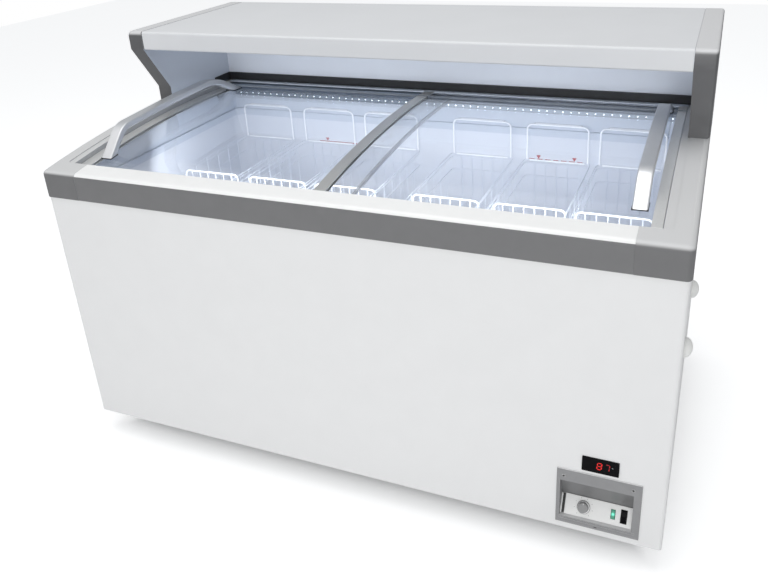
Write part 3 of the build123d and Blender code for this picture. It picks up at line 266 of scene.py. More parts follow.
# rimTopHighlight is painted highlight on the rims' tops; rimInside is a lighter grey on their inner walls
rimTopHighlight, rimInside = (0.62, 0.62, 0.62), (0.42, 0.43, 0.45)
extras = {
    "leftCheek": {"tones": (("X", 1, innerCheek), ("X", -1, capSideShade), ("Z", 1, capTopHighlight))},
    "rightCheek": {"tones": (("X", -1, innerCheek), ("X", 1, capSideShade), ("Z", 1, capTopHighlight))},
    "leftRim": {"tones": (("X", 1, rimInside), ("Z", 1, rimTopHighlight))},
    "rightRim": {"tones": (("X", -1, rimInside), ("Z", 1, rimTopHighlight))},
    # painted shade: the tank's faces that look up are darker
    "tankWhite": {"tones": (("Z", 1, (0.42, 0.45, 0.52)),)},
    # painted shade on the bezel's faces that look down, painted highlight on those that look up
    "bezelGrey": {"tones": (("Z", -1, (0.05, 0.05, 0.05)), ("Z", 1, (0.62, 0.62, 0.625)))},
    # painted highlight on the handles' faces that look forward
    "handleSilver": {"metal": 0.5, "roughVary": 0.03, "tones": (("Y", -1, (0.92, 0.92, 0.93)),)},
    "profileMetal": {"metal": 0.7, "stretch": (20, 1, 20)},
    "paleMetal": {"metal": 0.5, "stretch": (1, 20, 20)},
    "zincSteel": {"metal": 0.9}, "ringChrome": {"metal": 0.9}, "copperPipe": {"metal": 1}, "finMetal": {"metal": 0.8},
    # painted glow on the wires, in place of the light that the diodes throw on them
    "wireWhite": {"paintedGlow": 0.20}, "wireRung": {"paintedGlow": 0.03},
    "displayBlack": {"shine": 0.05}, "clearTrim": {"cover": 0.42},
}
toneEdge = (0.15, 0.75)  # how far a face is turned where another tone begins and where it is full
reliefDepth = 0.001


def finish(name, colour, rough, vary, grain, relief=0, reliefScale=900, metal=0.0, roughVary=0.06,
           stretch=(1, 1, 1), shine=0.5, tones=(), paintedGlow=0.0, cover=1.0):
    mat, tree, shader = newMaterial(name, {"Metallic": metal, "Specular IOR Level": shine, "Alpha": cover})
    if paintedGlow:
        # painted light: a little glow of its own, in place of the diodes' light that the wires catch
        setInputs(shader, {"Emission Color": (*colour, 1), "Emission Strength": paintedGlow})
    where = addNode(tree, "TexCoord")
    drawn = addNode(tree, "Mapping", {"Scale": stretch})
    cloud = addNode(tree, "TexNoise", {"Scale": grain, "Detail": 3})
    tint = addNode(tree, "ValToRGB")
    low, high = tint.color_ramp.elements
    low.position, high.position = 0.3, 0.7
    low.color = (*[c * (1 - vary) for c in colour], 1)
    high.color = (*[min(1, c * (1 + vary)) for c in colour], 1)
    polish = addNode(tree, "MapRange", {"To Min": max(0.02, rough - roughVary), "To Max": rough + roughVary})
    link(where, "Object", drawn, "Vector")
    link(drawn, "Vector", cloud, "Vector")
    link(cloud, "Fac", tint, "Fac")
    link(cloud, "Fac", polish, "Value")
    link(polish, "Result", shader, "Roughness")
    last = tint.outputs["Color"]
    for tone in tones:
        last = addTone(tree, last, *tone)
    tree.links.new(last, shader.inputs["Base Color"])
    if relief:
        skin = addNode(tree, "TexNoise", {"Scale": reliefScale, "Detail": 2})
        bump = addNode(tree, "Bump", {"Strength": relief, "Distance": reliefDepth})
        link(drawn, "Vector", skin, "Vector")
        link(skin, "Fac", bump, "Height")
        link(bump, "Normal", shader, "Normal")
    return mat


def addTone(tree, colour, axis, sign, other):
    # another tone on the faces that look up, down or to one side; mostly painted highlight and painted shade
    face = addNode(tree, "NewGeometry")
    split = addNode(tree, "SeparateXYZ")
    turn = addNode(tree, "MapRange", {"From Min": toneEdge[0] * sign, "From Max": toneEdge[1] * sign},
                   interpolation_type="SMOOTHSTEP")
    blend = addNode(tree, "Mix", {"B": (*other, 1)}, data_type="RGBA")
    link(face, "Normal", split, "Vector")
    link(split, axis, turn, "Value")
    link(turn, "Result", blend, "Factor")
    tree.links.new(colour, blend.inputs["A"])
    return blend.outputs["Result"]


# lid glass: clear seen straight through, and it mirrors more as the view flattens
glass = {"tint": (0.93, 0.96, 1.0), "rough": 0.03, "rise": 4.5, "dust": 18, "filmThin": 0.035, "filmThick": 0.06}


def paneGlass(name, spec):
    mat, tree, shader = newMaterial(name, {
        "Base Color": (*spec["tint"], 1), "Metallic": 1, "Roughness": spec["rough"], "Alpha": 0.2,
    })
    edgeOn = addNode(tree, "LayerWeight", {"Blend": 0.5})
    gloss = addNode(tree, "Math", {1: spec["rise"]}, operation="POWER")
    where = addNode(tree, "TexCoord")
    dust = addNode(tree, "TexNoise", {"Scale": spec["dust"]})
    film = addNode(tree, "MapRange", {"To Min": spec["filmThin"], "To Max": spec["filmThick"]})
    total = addNode(tree, "Math", operation="ADD", use_clamp=True)
    link(edgeOn, "Facing", gloss, 0)
    link(where, "Object", dust, "Vector")
    link(dust, "Fac", film, "Value")
    link(gloss, 0, total, 0)
    link(film, "Result", total, 1)
    link(total, 0, shader, "Alpha")
    return mat


# lights on the freezer: colour and strength of the glow, and the colour of the plastic round it
glows = {
    "figureRed": {"colour": (1.0, 0.02, 0.015), "strength": 0.8, "edge": (0.25, 0.005, 0.005)},
    "figureDim": {"colour": (0.8, 0.02, 0.03), "strength": 0.28, "edge": (0.2, 0.005, 0.01)},
    "diodeGlow": {"colour": (0.90, 0.96, 1.0), "strength": 5.0, "edge": (0.9, 0.9, 0.9)},
    "lampGreen": {"colour": (0.20, 1.0, 0.72), "strength": 0.9, "edge": (0.01, 0.26, 0.15),
                  "reach": 0.0056, "centre": (0.6425, -0.4215, 0.1259)},
}


def glowing(name, colour, strength, edge, reach=None, centre=None):
    # lit from behind: brightest in the middle where a reach is given
    mat = finish(name, edge, 0.25, 0.05, 200)
    tree = mat.node_tree
    shader = tree.nodes["Principled BSDF"]
    setInputs(shader, {"Emission Color": (*colour, 1), "Emission Strength": strength})
    if reach:
        where = addNode(tree, "TexCoord")
        away = addNode(tree, "VectorMath", {1: centre}, operation="DISTANCE")
        fall = addNode(tree, "MapRange", {"From Min": reach, "From Max": 0.0, "To Max": strength},
                       interpolation_type="SMOOTHERSTEP")
        link(where, "Object", away, 0)
        link(away, "Value", fall, "Value")
        link(fall, "Result", shader, "Emission Strength")
    return mat


paint = {name: finish(name, *row, **extras.get(name, {})) for name, row in finishes.items()}
paint["paneClear"] = paneGlass("paneClear", glass)
for name, spec in glows.items():
    paint[name] = glowing(name, **spec)
print("finishes mixed:", len(paint))

bySlot = {
    "body_white": "paintWhite", "canopy_white": "canopyWhite", "bracket_grey": "leftCheek", "rim_grey": "leftRim",
    "rail_grey": "railGrey", "strip_white": "stripWhite", "black_plastic": "blackPlastic",
    "skirt_grey": "skirtGrey", "foam": "foamCream", "tank_white": "tankWhite", "base_steel": "zincSteel",
    "pane": "paneClear", "profile_metal": "profileMetal", "handle_silver": "handleSilver",
    "wire_white": "wireWhite", "light_lens": "lensWhite", "display_black": "displayBlack",
    "bezel_grey": "bezelGrey", "plate_white": "plateWhite", "knob_grey": "knobGrey", "lamp_green": "lampGreen",
    "switch_black": "displayBlack", "compressor_black": "compressorBlack", "copper": "copperPipe",
    "fin_metal": "finMetal", "buffer_white": "bufferWhite", "castor_steel": "zincSteel", "wheel_grey": "tyreGrey",
}

# nodes that share a slot with others but show another tone; for rightCheek, deckGrey and panelWhite that tone is
# painted light
byNode = {
    "right_bracket": "rightCheek", "right_rim": "rightRim", "rear_rail": "deckGrey", "rear_panel": "panelWhite",
    "left_end_profile": "paleMetal", "right_end_profile": "paleMetal", "left_edge_trim": "clearTrim",
    "rear_track": "trackGrey", "light_housing": "trackGrey",
}


def dressNodes():
    for part in frame["record"]["subparts"]:
        node, slot = part["node"], part["material_slot"]
        piece = nodes[node]
        piece.data.materials.clear()
        piece.data.materials.append(paint[byNode.get(node, bySlot[slot])])


dressNodes()
print("nodes painted")


# light strip: the glow that the diodes throw into the tank
stripGlow = {
    "size": 1.26, "height": 0.16, "place": (0, -0.14, 0.725), "aim": (0, 0.30, 0.56),
    "power": 3.4, "colour": (0.92, 0.96, 1.0),
}
glowLamp = addLamp("stripGlow", stripGlow)
glowLamp.visible_camera = False
glowLamp.visible_glossy = False


# makers that several pieces share
def addMesh(name, verts, faces, material, body, slot, smooth=True, sharp=35):
    mesh = bpy.data.meshes.new(name)
    mesh.from_pydata([tuple(v) for v in verts], [], faces)
    mesh.materials.append(paint[material])
    mesh.validate()
    piece = bpy.data.objects.new(name, mesh)
    bpy.context.scene.collection.objects.link(piece)
    if smooth:
        mesh.shade_smooth()
        mesh.set_sharp_from_angle(angle=radians(sharp))
    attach(piece, body)
    return piece


def addBlock(name, corners, depth, outward, material, slot, body="cabinet", edge=0):
    # a flat outline given a thickness towards the outward side
    outward = Vector(outward)
    low = [Vector(c) for c in corners]
    high = [c + outward * depth for c in low]
    count = len(low)
    normal = (low[1] - low[0]).cross(low[2] - low[1])
    faces = [tuple(range(count, 2 * count)), tuple(reversed(range(count)))]
    faces += [(k, (k + 1) % count, count + (k + 1) % count, count + k) for k in range(count)]
    if normal.dot(outward) < 0:
        faces = [f[::-1] for f in faces]
    piece = addMesh(name, low + high, faces, material, body, slot, smooth=False)
    if edge:
        softenEdges(piece, edge, 2)


def facingFront(y, left, right, low, high):
    # corners of an upright rectangle
    return [(left, y, low), (right, y, low), (right, y, high), (left, y, high)]


def joined(shapes):
    # several shapes as the points and faces of one
    verts, faces = [], []
    for points, quads in shapes:
        faces += [tuple(k + len(verts) for k in quad) for quad in quads]
        verts += points
    return verts, faces


def softenEdges(piece, width, steps=3, angle=30):
    bevel = piece.modifiers.new("soft edges", "BEVEL")
    bevel.width = width
    bevel.segments = steps
    bevel.limit_method = "ANGLE"
    bevel.angle_limit = radians(angle)


def evenShading(piece):
    # wide flat faces keep their own normals beside small rounds
    flat = piece.modifiers.new("flat faces", "WEIGHTED_NORMAL")
    flat.weight = 80
    flat.keep_sharp = True


def bend(start, corner, end, steps):
    # a soft bend from start to end, drawn towards the corner
    shares = [n / steps for n in range(steps + 1)]
    return [start * (1 - t) ** 2 + corner * 2 * t * (1 - t) + end * t ** 2 for t in shares]


def roundCorners(points, radius, steps=6, closed=False):
    # the same path with each corner turned on a bend
    path = []
    count = len(points)
    for i, corner in enumerate(points):
        corner = Vector(corner)
        if not closed and i in (0, count - 1):
            path.append(corner)
            continue
        before = Vector(points[i - 1]) - corner
        after = Vector(points[(i + 1) % count]) - corner
        angle = before.angle(after)
        if angle > pi - 0.01:
            path.append(corner)
            continue
        reach = radius / max(0.05, sin(angle / 2) / cos(angle / 2))
        reach = min(reach, before.length * 0.49, after.length * 0.49)
        path += bend(corner + before.normalized() * reach, corner, corner + after.normalized() * reach, steps)
    return path


def addWires(name, paths, thickness, material, body, slot, sides=8):
    # round wire along each path; a path is (points, closed)
    verts, faces = [], []
    for points, closed in paths:
        points = [Vector(p) for p in points]
        count = len(points)
        side = None
        rings = []
        for i, point in enumerate(points):
            if closed:
                ahead = (points[(i + 1) % count] - points[i - 1]).normalized()
            else:
                ahead = (points[min(i + 1, count - 1)] - points[max(i - 1, 0)]).normalized()
            if side is None:
                side = ahead.orthogonal().normalized()
            side = (side - ahead * side.dot(ahead)).normalized()
            other = ahead.cross(side)
            rings.append(len(verts))
            for k in range(sides):
                turn = 2 * pi * k / sides
                verts.append(point + (side * cos(turn) + other * sin(turn)) * thickness / 2)
        for a, b in zip(rings, rings[1:]):
            faces += [(a + k, a + (k + 1) % sides, b + (k + 1) % sides, b + k) for k in range(sides)]
        if closed:
            # the last ring meets the first one where their corners lie nearest
            a, b = rings[-1], rings[0]
            gaps = [(verts[a] - verts[b + k]).length for k in range(sides)]
            shift = gaps.index(min(gaps))
            for k in range(sides):
                faces.append((a + k, a + (k + 1) % sides, b + (k + 1 + shift) % sides, b + (k + shift) % sides))
        else:
            faces.append(tuple(rings[0] + k for k in reversed(range(sides))))
            faces.append(tuple(rings[-1] + k for k in range(sides)))
    return addMesh(name, verts, faces, material, body, slot, sharp=60)


def ringAround(centre, axis, upright, profile, steps=48):
    # turns (radius, height) pairs about an axis; returns points and faces
    axis = Vector(axis).normalized()
    across = Vector(upright).cross(axis).normalized()
    other = axis.cross(across)
    verts, faces, rows = [], [], []
    for radius, height in profile:
        if radius == 0:
            rows.append([len(verts)])
            verts.append(Vector(centre) + axis * height)
            continue
        rows.append(list(range(len(verts), len(verts) + steps)))
        for k in range(steps):
            turn = 2 * pi * k / steps
            verts.append(Vector(centre) + axis * height + (across * cos(turn) + other * sin(turn)) * radius)
    for a, b in zip(rows, rows[1:]):
        for k in range(steps):
            following = (k + 1) % steps
            if len(b) == 1:
                faces.append((a[k], a[following], b[0]))
            else:
                faces.append((a[k], a[following], b[following], b[k]))
    return verts, faces


# the crowned line that the rim, the panes and the handles follow
crown = {"radius": 3.1, "middle": 0.1, "crest": 0.83239}


def crownHeight(y, drop=0.0):
    return crown["crest"] - crown["radius"] + sqrt(crown["radius"] ** 2 - (y - crown["middle"]) ** 2) - drop


# wire baskets
basket = {
    "centres": (-0.562, -0.346, -0.138, 0.144, 0.360, 0.561),
    "width": 0.190, "front": -0.370, "back": 0.293, "top": 0.650, "floor": 0.400, "rails": (0.601, 0.639),
    "frameWire": 0.0050, "wire": 0.0022, "rung": 0.0034,
    "acrossPitch": 0.055, "alongPitch": 0.031, "cornerRound": 0.016, "footRound": 0.022,
    # loop that stands up at each end, with a small hook at its top
    "loopTop": 0.754, "loopInset": 0.008, "loopRound": 0.018,
    "hookReach": 0.010, "hookInset": 0.02, "hookRound": 0.004,
    # divider across the middle
    "divider": -0.035, "dividerPitch": 0.028, "dividerRound": 0.014, "ladderGap": 0.027,
}


def spaced(start, end, pitch):
    # even places between start and end, about one pitch apart
    count = round((end - start) / pitch)
    return [start + (end - start) * n / count for n in range(1, count)]


def makeBasket(number, x, spec):
    half = spec["width"] / 2
    thick, thin = spec["frameWire"], spec["wire"]
    left, right = x - half + thick / 2, x + half - thick / 2
    front, back = spec["front"] + thick / 2, spec["back"] - thick / 2
    top, low = spec["top"] - thick / 2, spec["floor"] + thin / 2
    corner = spec["cornerRound"]
    frameWires, fillWires = [], []

    # level hoops, and the thicker bars of the top one
    for inset, level in [(0, top)] + [(thin, rail) for rail in spec["rails"]]:
        a, b, c, d = left + inset, right - inset, front + inset, back - inset
        hoop = [(a, c, level), (b, c, level), (b, d, level), (a, d, level)]
        fillWires.append((roundCorners(hoop, corner, closed=True), True))
    for y in (front + thin / 2, back - thin / 2):
        frameWires.append(([(left + corner, y, top), (right - corner, y, top)], False))

    # thin wires down one side, along the floor and up the other
    a, b = left + thin, right - thin
    for y in spaced(front, back, spec["acrossPitch"]):
        path = [(a, y, top), (a, y, low), (b, y, low), (b, y, top)]
        fillWires.append((roundCorners(path, spec["footRound"]), False))
    c, d, under = front + thin, back - thin, low - thin
    for wireX in spaced(left, right, spec["alongPitch"]):
        path = [(wireX, c, top), (wireX, c, under), (wireX, d, under), (wireX, d, top)]
        fillWires.append((roundCorners(path, spec["footRound"]), False))

    a, b = left + spec["loopInset"], right - spec["loopInset"]
    high = spec["loopTop"] - thick / 2
    for y, reach in ((front, -spec["hookReach"]), (back, spec["hookReach"])):
        loop = [(a, y, top), (a, y, high), (b, y, high), (b, y, top)]
        frameWires.append((roundCorners(loop, spec["loopRound"], steps=8), False))
        c, d = a + spec["hookInset"], b - spec["hookInset"]
        hook = [(c, y, high), (c, y + reach, high), (d, y + reach, high), (d, y, high)]
        frameWires.append((roundCorners(hook, spec["hookRound"]), False))

    a, b, y = left + thick, right - thick, spec["divider"]
    path = [(a, y, low), (a, y, top), (b, y, top), (b, y, low)]
    frameWires.append((roundCorners(path, spec["dividerRound"]), False))
    frameWires.append(([(a, y, top - spec["ladderGap"]), (b, y, top - spec["ladderGap"])], False))
    ladder = spaced(left, right, spec["dividerPitch"])
    rungs = [([(wireX, y, low), (wireX, y, top)], False) for wireX in ladder]

    frameOne = addWires(f"basket_frame_{number}", frameWires, thick, "wireWhite", "cabinet", "wire_white")
    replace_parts(frameOne, f"basket_{number}")
    addWires(f"basket_wires_{number}", fillWires, thin, "wireFaint", "cabinet", "wire_white", sides=6)
    addWires(f"basket_rungs_{number}", rungs, spec["rung"], "wireRung", "cabinet", "wire_white")


for number, x in enumerate(basket["centres"], 1):
    makeBasket(number, x, basket)
print("baskets wired")


# bow handles: one curved bar each, with a dark pad under its feet
handle = {
    "width": 0.030, "thick": 0.016, "edge": 0.0035, "edgeSteps": 4, "inner": 0.627, "pointGap": 0.006,
    "footFront": -0.322, "footBack": 0.247, "footReach": 0.05, "cutReach": 0.07, "below": 0.3,
    "frontRun": 0.058, "frontRise": 0.047, "frontBend": 0.060,
    "backRun": 0.105, "backRise": 0.040, "backBend": 0.200,
    "crest": 0.035, "crestBend": 3.0, "bendSteps": 16,
    "padThick": 0.0022, "padOver": 0.001, "padEdge": 0.0006,
}


def handleLine(spec, drop):
    # centre line of the bar; its ends go on below the glass and are cut off later
    front, back, below = spec["footFront"], spec["footBack"], spec["below"]
    frontDrop, backDrop = spec["frontRise"] + drop, spec["backRise"] + drop
    middle = (front + spec["frontRun"] + back - spec["backRun"]) / 2
    corners = [
        (front - spec["frontRun"] * below, crownHeight(front, drop) - frontDrop * below),
        (front + spec["frontRun"], crownHeight(front) + spec["frontRise"]),
        (middle, crownHeight(middle) + spec["crest"]),
        (back - spec["backRun"], crownHeight(back) + spec["backRise"]),
        (back + spec["backRun"] * below, crownHeight(back, drop) - backDrop * below),
    ]
    flat = [Vector((0, y, z)) for y, z in corners]
    path = [flat[0]]
    for i, radius in enumerate((spec["frontBend"], spec["crestBend"], spec["backBend"]), 1):
        before, after = flat[i - 1] - flat[i], flat[i + 1] - flat[i]
        angle = before.angle(after)
        reach = min(radius * cos(angle / 2) / sin(angle / 2), before.length * 0.48, after.length * 0.48)
        start, end = flat[i] + before.normalized() * reach, flat[i] + after.normalized() * reach
        path += bend(start, flat[i], end, spec["bendSteps"])
    path.append(flat[-1])
    # straight runs get points too, so that the cut at the glass is clean
    dense = []
    for a, b in zip(path, path[1:]):
        steps = max(1, round((b - a).length / spec["pointGap"]))
        dense += [a.lerp(b, n / steps) for n in range(steps)]
    return dense + [path[-1]]


def handleSection(spec):
    # rounded oblong: across, up
    near, far = spec["inner"], spec["inner"] + spec["width"]
    half, edge, steps = spec["thick"] / 2, spec["edge"], spec["edgeSteps"]
    section = []
    for cx, cy, start in ((far - edge, half - edge, 0), (near + edge, half - edge, 90),
                          (near + edge, -half + edge, 180), (far - edge, -half + edge, 270)):
        turns = [radians(start + 90 * n / steps) for n in range(steps + 1)]
        section += [(cx + edge * cos(turn), cy + edge * sin(turn)) for turn in turns]
    return section


def trimFeet(piece, cutLevel, spec):
    # the bar ends just above the pane, on a cut along the crown
    mesh = bmesh.new()
    mesh.from_mesh(piece.data)
    nudge = 0.005
    for y in (spec["footFront"], spec["footBack"]):
        sign = 1 if y < 0 else -1
        slope = (crownHeight(y + nudge) - crownHeight(y - nudge)) / (2 * nudge)
        normal = Vector((0, -slope, 1)).normalized()
        spot = Vector((0, y, crownHeight(y, cutLevel)))
        close = [v for v in mesh.verts if (v.co.y - y) * sign < spec["cutReach"]]
        geom = close + [e for e in mesh.edges if all(v in close for v in e.verts)]
        geom += [f for f in mesh.faces if all(v in close for v in f.verts)]
        bmesh.ops.bisect_plane(mesh, geom=geom, plane_co=spot, plane_no=normal, clear_inner=True)
    bmesh.ops.holes_fill(mesh, edges=[e for e in mesh.edges if e.is_boundary], sides=64)
    mesh.to_mesh(piece.data)
    mesh.free()
    piece.data.shade_smooth()
    piece.data.set_sharp_from_angle(angle=radians(40))


def addPad(name, piece, side, y, drop, body, spec):
    # the outline of the bar's foot, a little larger
    cutLevel, over = drop - spec["padThick"], spec["padOver"]
    places = [v.co for v in piece.data.vertices if abs(v.co.y - y) < spec["footReach"]]
    foot = [place.y for place in places if place.z < crownHeight(place.y, cutLevel) + spec["padEdge"]]
    low, high = min(foot) - over, max(foot) + over
    a, b = side * (spec["inner"] - over), side * (spec["inner"] + spec["width"] + over)
    corners = [(a, low), (b, low), (b, high), (a, high)]
    verts = [(x, y, crownHeight(y, level)) for level in (drop, cutLevel) for x, y in corners]
    faces = [(0, 3, 2, 1), (4, 5, 6, 7), (0, 1, 5, 4), (1, 2, 6, 5), (2, 3, 7, 6), (3, 0, 4, 7)]
    if side < 0:
        faces = [f[::-1] for f in faces]
    pad = addMesh(name, verts, faces, "blackPlastic", body, "black_plastic", smooth=False)
    softenEdges(pad, spec["padEdge"], 2)


def makeHandle(name, side, drop, body, spec):
    line, section = handleLine(spec, drop), handleSection(spec)
    verts, faces = [], []
    count = len(section)
    for i, point in enumerate(line):
        ahead = (line[min(i + 1, len(line) - 1)] - line[max(i - 1, 0)]).normalized()
        up = Vector((0, -ahead.z, ahead.y))
        for across, rise in section:
            verts.append(Vector((side * across, point.y + up.y * rise, point.z + up.z * rise)))
    for i in range(len(line) - 1):
        for k in range(count):
            a, b = i * count + k, i * count + (k + 1) % count
            quad = (a, b, b + count, a + count)
            faces.append(quad if side > 0 else quad[::-1])
    piece = addMesh(name, verts, faces, "handleSilver", body, "handle_silver", sharp=50)
    trimFeet(piece, drop - spec["padThick"], spec)
    for label, y in (("front", spec["footFront"]), ("back", spec["footBack"])):
        addPad(f"{name}_pad_{label}", piece, side, y, drop, body, spec)
    return piece


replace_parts(makeHandle("left_handle_bar", -1, 0.015, "left_lid", handle), "left_handle")
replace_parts(makeHandle("right_handle_bar", 1, 0.003, "right_lid", handle), "right_handle")
print("handles bent")


# canopy: two moulded brackets and the folded sheet between them
canopy = {
    "front": -0.057, "back": 0.437, "top": 1.048, "lip": 0.049, "lipReturn": 0.025, "sheet": 0.003,
    "foot": 0.026, "knee": 0.875, "outer": 0.75, "inner": 0.704, "footSteps": 12,
    "noseRound": 0.014, "edgeRound": 0.007, "edgeSteps": 5, "foldRound": 0.0065, "returnRound": 0.0045,
    "leftSeam": 0.0030, "rightSeam": 0.0005, "seamShadeGap": 0.0002, "seamShadeInset": 0.0004,
}


def turnCorner(centre, radius, start, end, steps=6):
    # arc in (depth, height) round a centre, angles in degrees from the front
    y, z = centre
    turns = [radians(start + (end - start) * n / steps) for n in range(steps + 1)]
    return [(y - radius * cos(t), z + radius * sin(t)) for t in turns]


def insetOutline(outline, amount):
    # every point moved inwards by the same distance from both its edges
    moved = []
    count = len(outline)
    for k, point in enumerate(outline):
        here = Vector(point)
        before = (here - Vector(outline[k - 1])).normalized()
        after = (Vector(outline[(k + 1) % count]) - here).normalized()
        inward = Vector((before.y, -before.x)) + Vector((after.y, -after.x))
        inward.normalize()
        lean = max(0.4, inward.dot(Vector((after.y, -after.x))))
        moved.append(here + inward * (amount / lean))
    return moved


def addSection(name, outline, stations, material, slot):
    # one outline carried along the width; a station is (x, inset)
    verts, faces = [], []
    count = len(outline)
    for x, amount in stations:
        ring = insetOutline(outline, amount) if amount else outline
        verts += [(x, y, z) for y, z in ring]
    for n in range(len(stations) - 1):
        for k in range(count):
            a, b = n * count + k, n * count + (k + 1) % count
            faces.append((a, b, b + count, a + count))
    last = (len(stations) - 1) * count
    faces.append(tuple(reversed(range(count))))
    faces.append(tuple(range(last, last + count)))
    if stations[0][0] > stations[-1][0]:
        faces = [f[::-1] for f in faces]
    piece = addMesh(name, verts, faces, material, "cabinet", slot, sharp=40)
    evenShading(piece)
    return piece


def makeBrackets(spec):
    nose = (spec["front"] + spec["noseRound"], spec["top"] - spec["noseRound"])
    outline = [(spec["foot"], crownHeight(spec["foot"])), (spec["foot"], spec["knee"])]
    outline += [(spec["front"], spec["top"] - spec["lip"])]
    outline += turnCorner(nose, spec["noseRound"], 0, 90)
    outline += [(spec["back"], spec["top"])]
    run, steps = spec["back"] - spec["foot"], spec["footSteps"]
    depths = [spec["back"] - run * n / steps for n in range(steps)]
    outline += [(y, crownHeight(y)) for y in depths]
    soft = spec["edgeRound"]
    turns = [radians(90 * n / spec["edgeSteps"]) for n in range(spec["edgeSteps"] + 1)]
    for side, sign in (("left", -1), ("right", 1)):
        stations = [(sign * spec["inner"], 0)]
        stations += [(sign * (spec["outer"] - soft + soft * sin(t)), soft * (1 - cos(t))) for t in turns]
        piece = addSection(f"{side}_bracket_shell", outline, stations, f"{side}Cheek", "bracket_grey")
        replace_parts(piece, f"{side}_bracket")


def makeCanopy(spec):
    thick = spec["sheet"]
    fold = (spec["front"] + spec["foldRound"], spec["top"] - spec["foldRound"])
    low = spec["top"] - spec["lip"]
    turn = (spec["front"] + spec["returnRound"], low + spec["returnRound"])
    end = spec["front"] + spec["lipReturn"]
    outline = [(end, low)] + turnCorner(turn, spec["returnRound"], -90, 0)
    outline += turnCorner(fold, spec["foldRound"], 0, 90)
    outline += [(spec["back"], spec["top"]), (spec["back"], spec["top"] - thick)]
    outline += turnCorner(fold, spec["foldRound"] - thick, 90, 0)
    outline += turnCorner(turn, spec["returnRound"] - thick, 0, -90) + [(end, low + thick)]
    leftEnd, rightEnd = -spec["inner"] + spec["leftSeam"], spec["inner"] - spec["rightSeam"]
    sheet = addSection("canopy_sheet", outline, [(leftEnd, 0), (rightEnd, 0)], "canopyWhite", "canopy_white")
    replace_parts(sheet, "canopy_top")
    # painted shade: a black strip in the seam beside the left bracket, where the gap lies in shadow
    inset = spec["seamShadeInset"]
    seam = [(-spec["inner"] + spec["seamShadeGap"], inset), (leftEnd, inset)]
    addSection("canopy_seam_shade", outline, seam, "shadeBlack", "black_plastic")


makeBrackets(canopy)
makeCanopy(canopy)
print("canopy folded")


# rounded pressed and moulded edges on the sheet and plastic nodes
edgeRounds = {
    "front_rail": 0.0008, "front_strip": 0.0012, "control_bezel": 0.0022, "display_module": 0.001,
    "faceplate": 0.0004, "rocker_housing": 0.0006, "power_rocker": 0.0006, "pilot_lamp": 0.0006,
    "left_end_profile": 0.0012, "right_end_profile": 0.0012, "right_meeting_profile": 0.0012,
    "left_edge_trim": 0.0008, "left_glass": 0.0008, "right_glass": 0.0008,
    "rear_rail": 0.001, "rear_panel": 0.0008, "back_cover": 0.001, "rear_sheet": 0.0006, "base_frame": 0.0006,
}


def roundNode(name, width):
    piece = nodes[name]
    join = piece.modifiers.new("joined corners", "WELD")
    join.merge_threshold = 0.00002
    softenEdges(piece, width, 3, 28)
    evenShading(piece)


for name, width in edgeRounds.items():
    roundNode(name, width)
print("edges rounded")


# control plate: a plane that leans back, its zero at the foot of the plate
plate = {
    "foot": Vector((0.611, -0.43266, 0.10711)), "up": Vector((0, 0.5547, 0.83205)),
    "out": Vector((0, -0.83205, 0.5547)),
    # light edge and dark slot at its left end: (left, right); the slot is painted shade, a black strip where the gap
    # at the plate's end lies in shadow
    "edge": (-0.0798, -0.0768), "slot": (-0.0768, -0.0714), "low": 0.001, "high": 0.0422, "proud": 0.0004,
}
knob = {
    "place": -0.031, "row": 0.02163, "radius": 0.0135, "height": 0.0135,
    "gripShare": 0.84, "bore": 0.0032, "lift": 0.0006, "collar": 0.0004, "collarTop": 0.0030, "faceRound": 0.0012,
    # bright ring round the grip: (step in from the radius, height)
    "ring": ((0.0002, 0.0008), (0, 0.0010), (0, 0.0024), (0.0006, 0.0031)),
    # painted shadow on the plate round the knob: (step out from the radius, height)
    "shadowRing": ((0.0009, 0.0001), (0.0008, 0.0003), (-0.002, 0.0003)),
    "pointerStart": 0.0062, "pointerEnd": 0.0100, "pointerHalf": 0.0005, "pointerProud": 0.0003,
}
ticks = {
    "count": 8, "firstAngle": -50, "sweep": 280, "radius": 0.0185, "long": 0.0022, "wide": 0.0008, "proud": 0.00012,
}


def onPlate(x, up, out=0.0):
    return plate["foot"] + Vector((x, 0, 0)) + plate["up"] * up + plate["out"] * out


def plateOblong(left, right, low, high, out=0.0):
    return [onPlate(x, up, out) for x, up in ((left, low), (right, low), (right, high), (left, high))]


def makeKnob(spec):
    # skirt, bright ring, then the grip with a rounded face
    radius, height, soft = spec["radius"], spec["height"], spec["faceRound"]
    centre = onPlate(spec["place"], spec["row"])
    grip = radius * spec["gripShare"]
    wide = grip + spec["collar"]
    face = grip - 0.0006
    body = [(spec["bore"], spec["lift"]), (wide, spec["lift"]), (wide, spec["collarTop"]), (grip, 0.0034)]
    turns = [radians(t) for t in range(0, 91, 18)]
    body += [(face - soft * (1 - cos(t)), height - soft + soft * sin(t)) for t in turns]
    body += [(grip * 0.55, height + 0.0001), (grip * 0.5, height - 0.0003), (0, height - 0.0003)]
    verts, faces = ringAround(centre, plate["out"], plate["up"], body)
    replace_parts(addMesh("knob_grip", verts, faces, "knobGrey", "knob", "knob_grey"), "thermostat_knob")
    ring = [(wide, 0.0008)] + [(radius - step, level) for step, level in spec["ring"]] + [(grip + 0.0003, 0.0033)]
    verts, faces = ringAround(centre, plate["out"], plate["up"], ring)
    addMesh("knob_ring", verts, faces, "ringChrome", "knob", "knob_grey")
    x, half, row = spec["place"], spec["pointerHalf"], spec["row"]
    mark = plateOblong(x - half, x + half, row + spec["pointerStart"], row + spec["pointerEnd"], height - 0.0002)
    addBlock("knob_pointer", mark, spec["pointerProud"], plate["out"], "plateWhite", "plate_white", "knob")


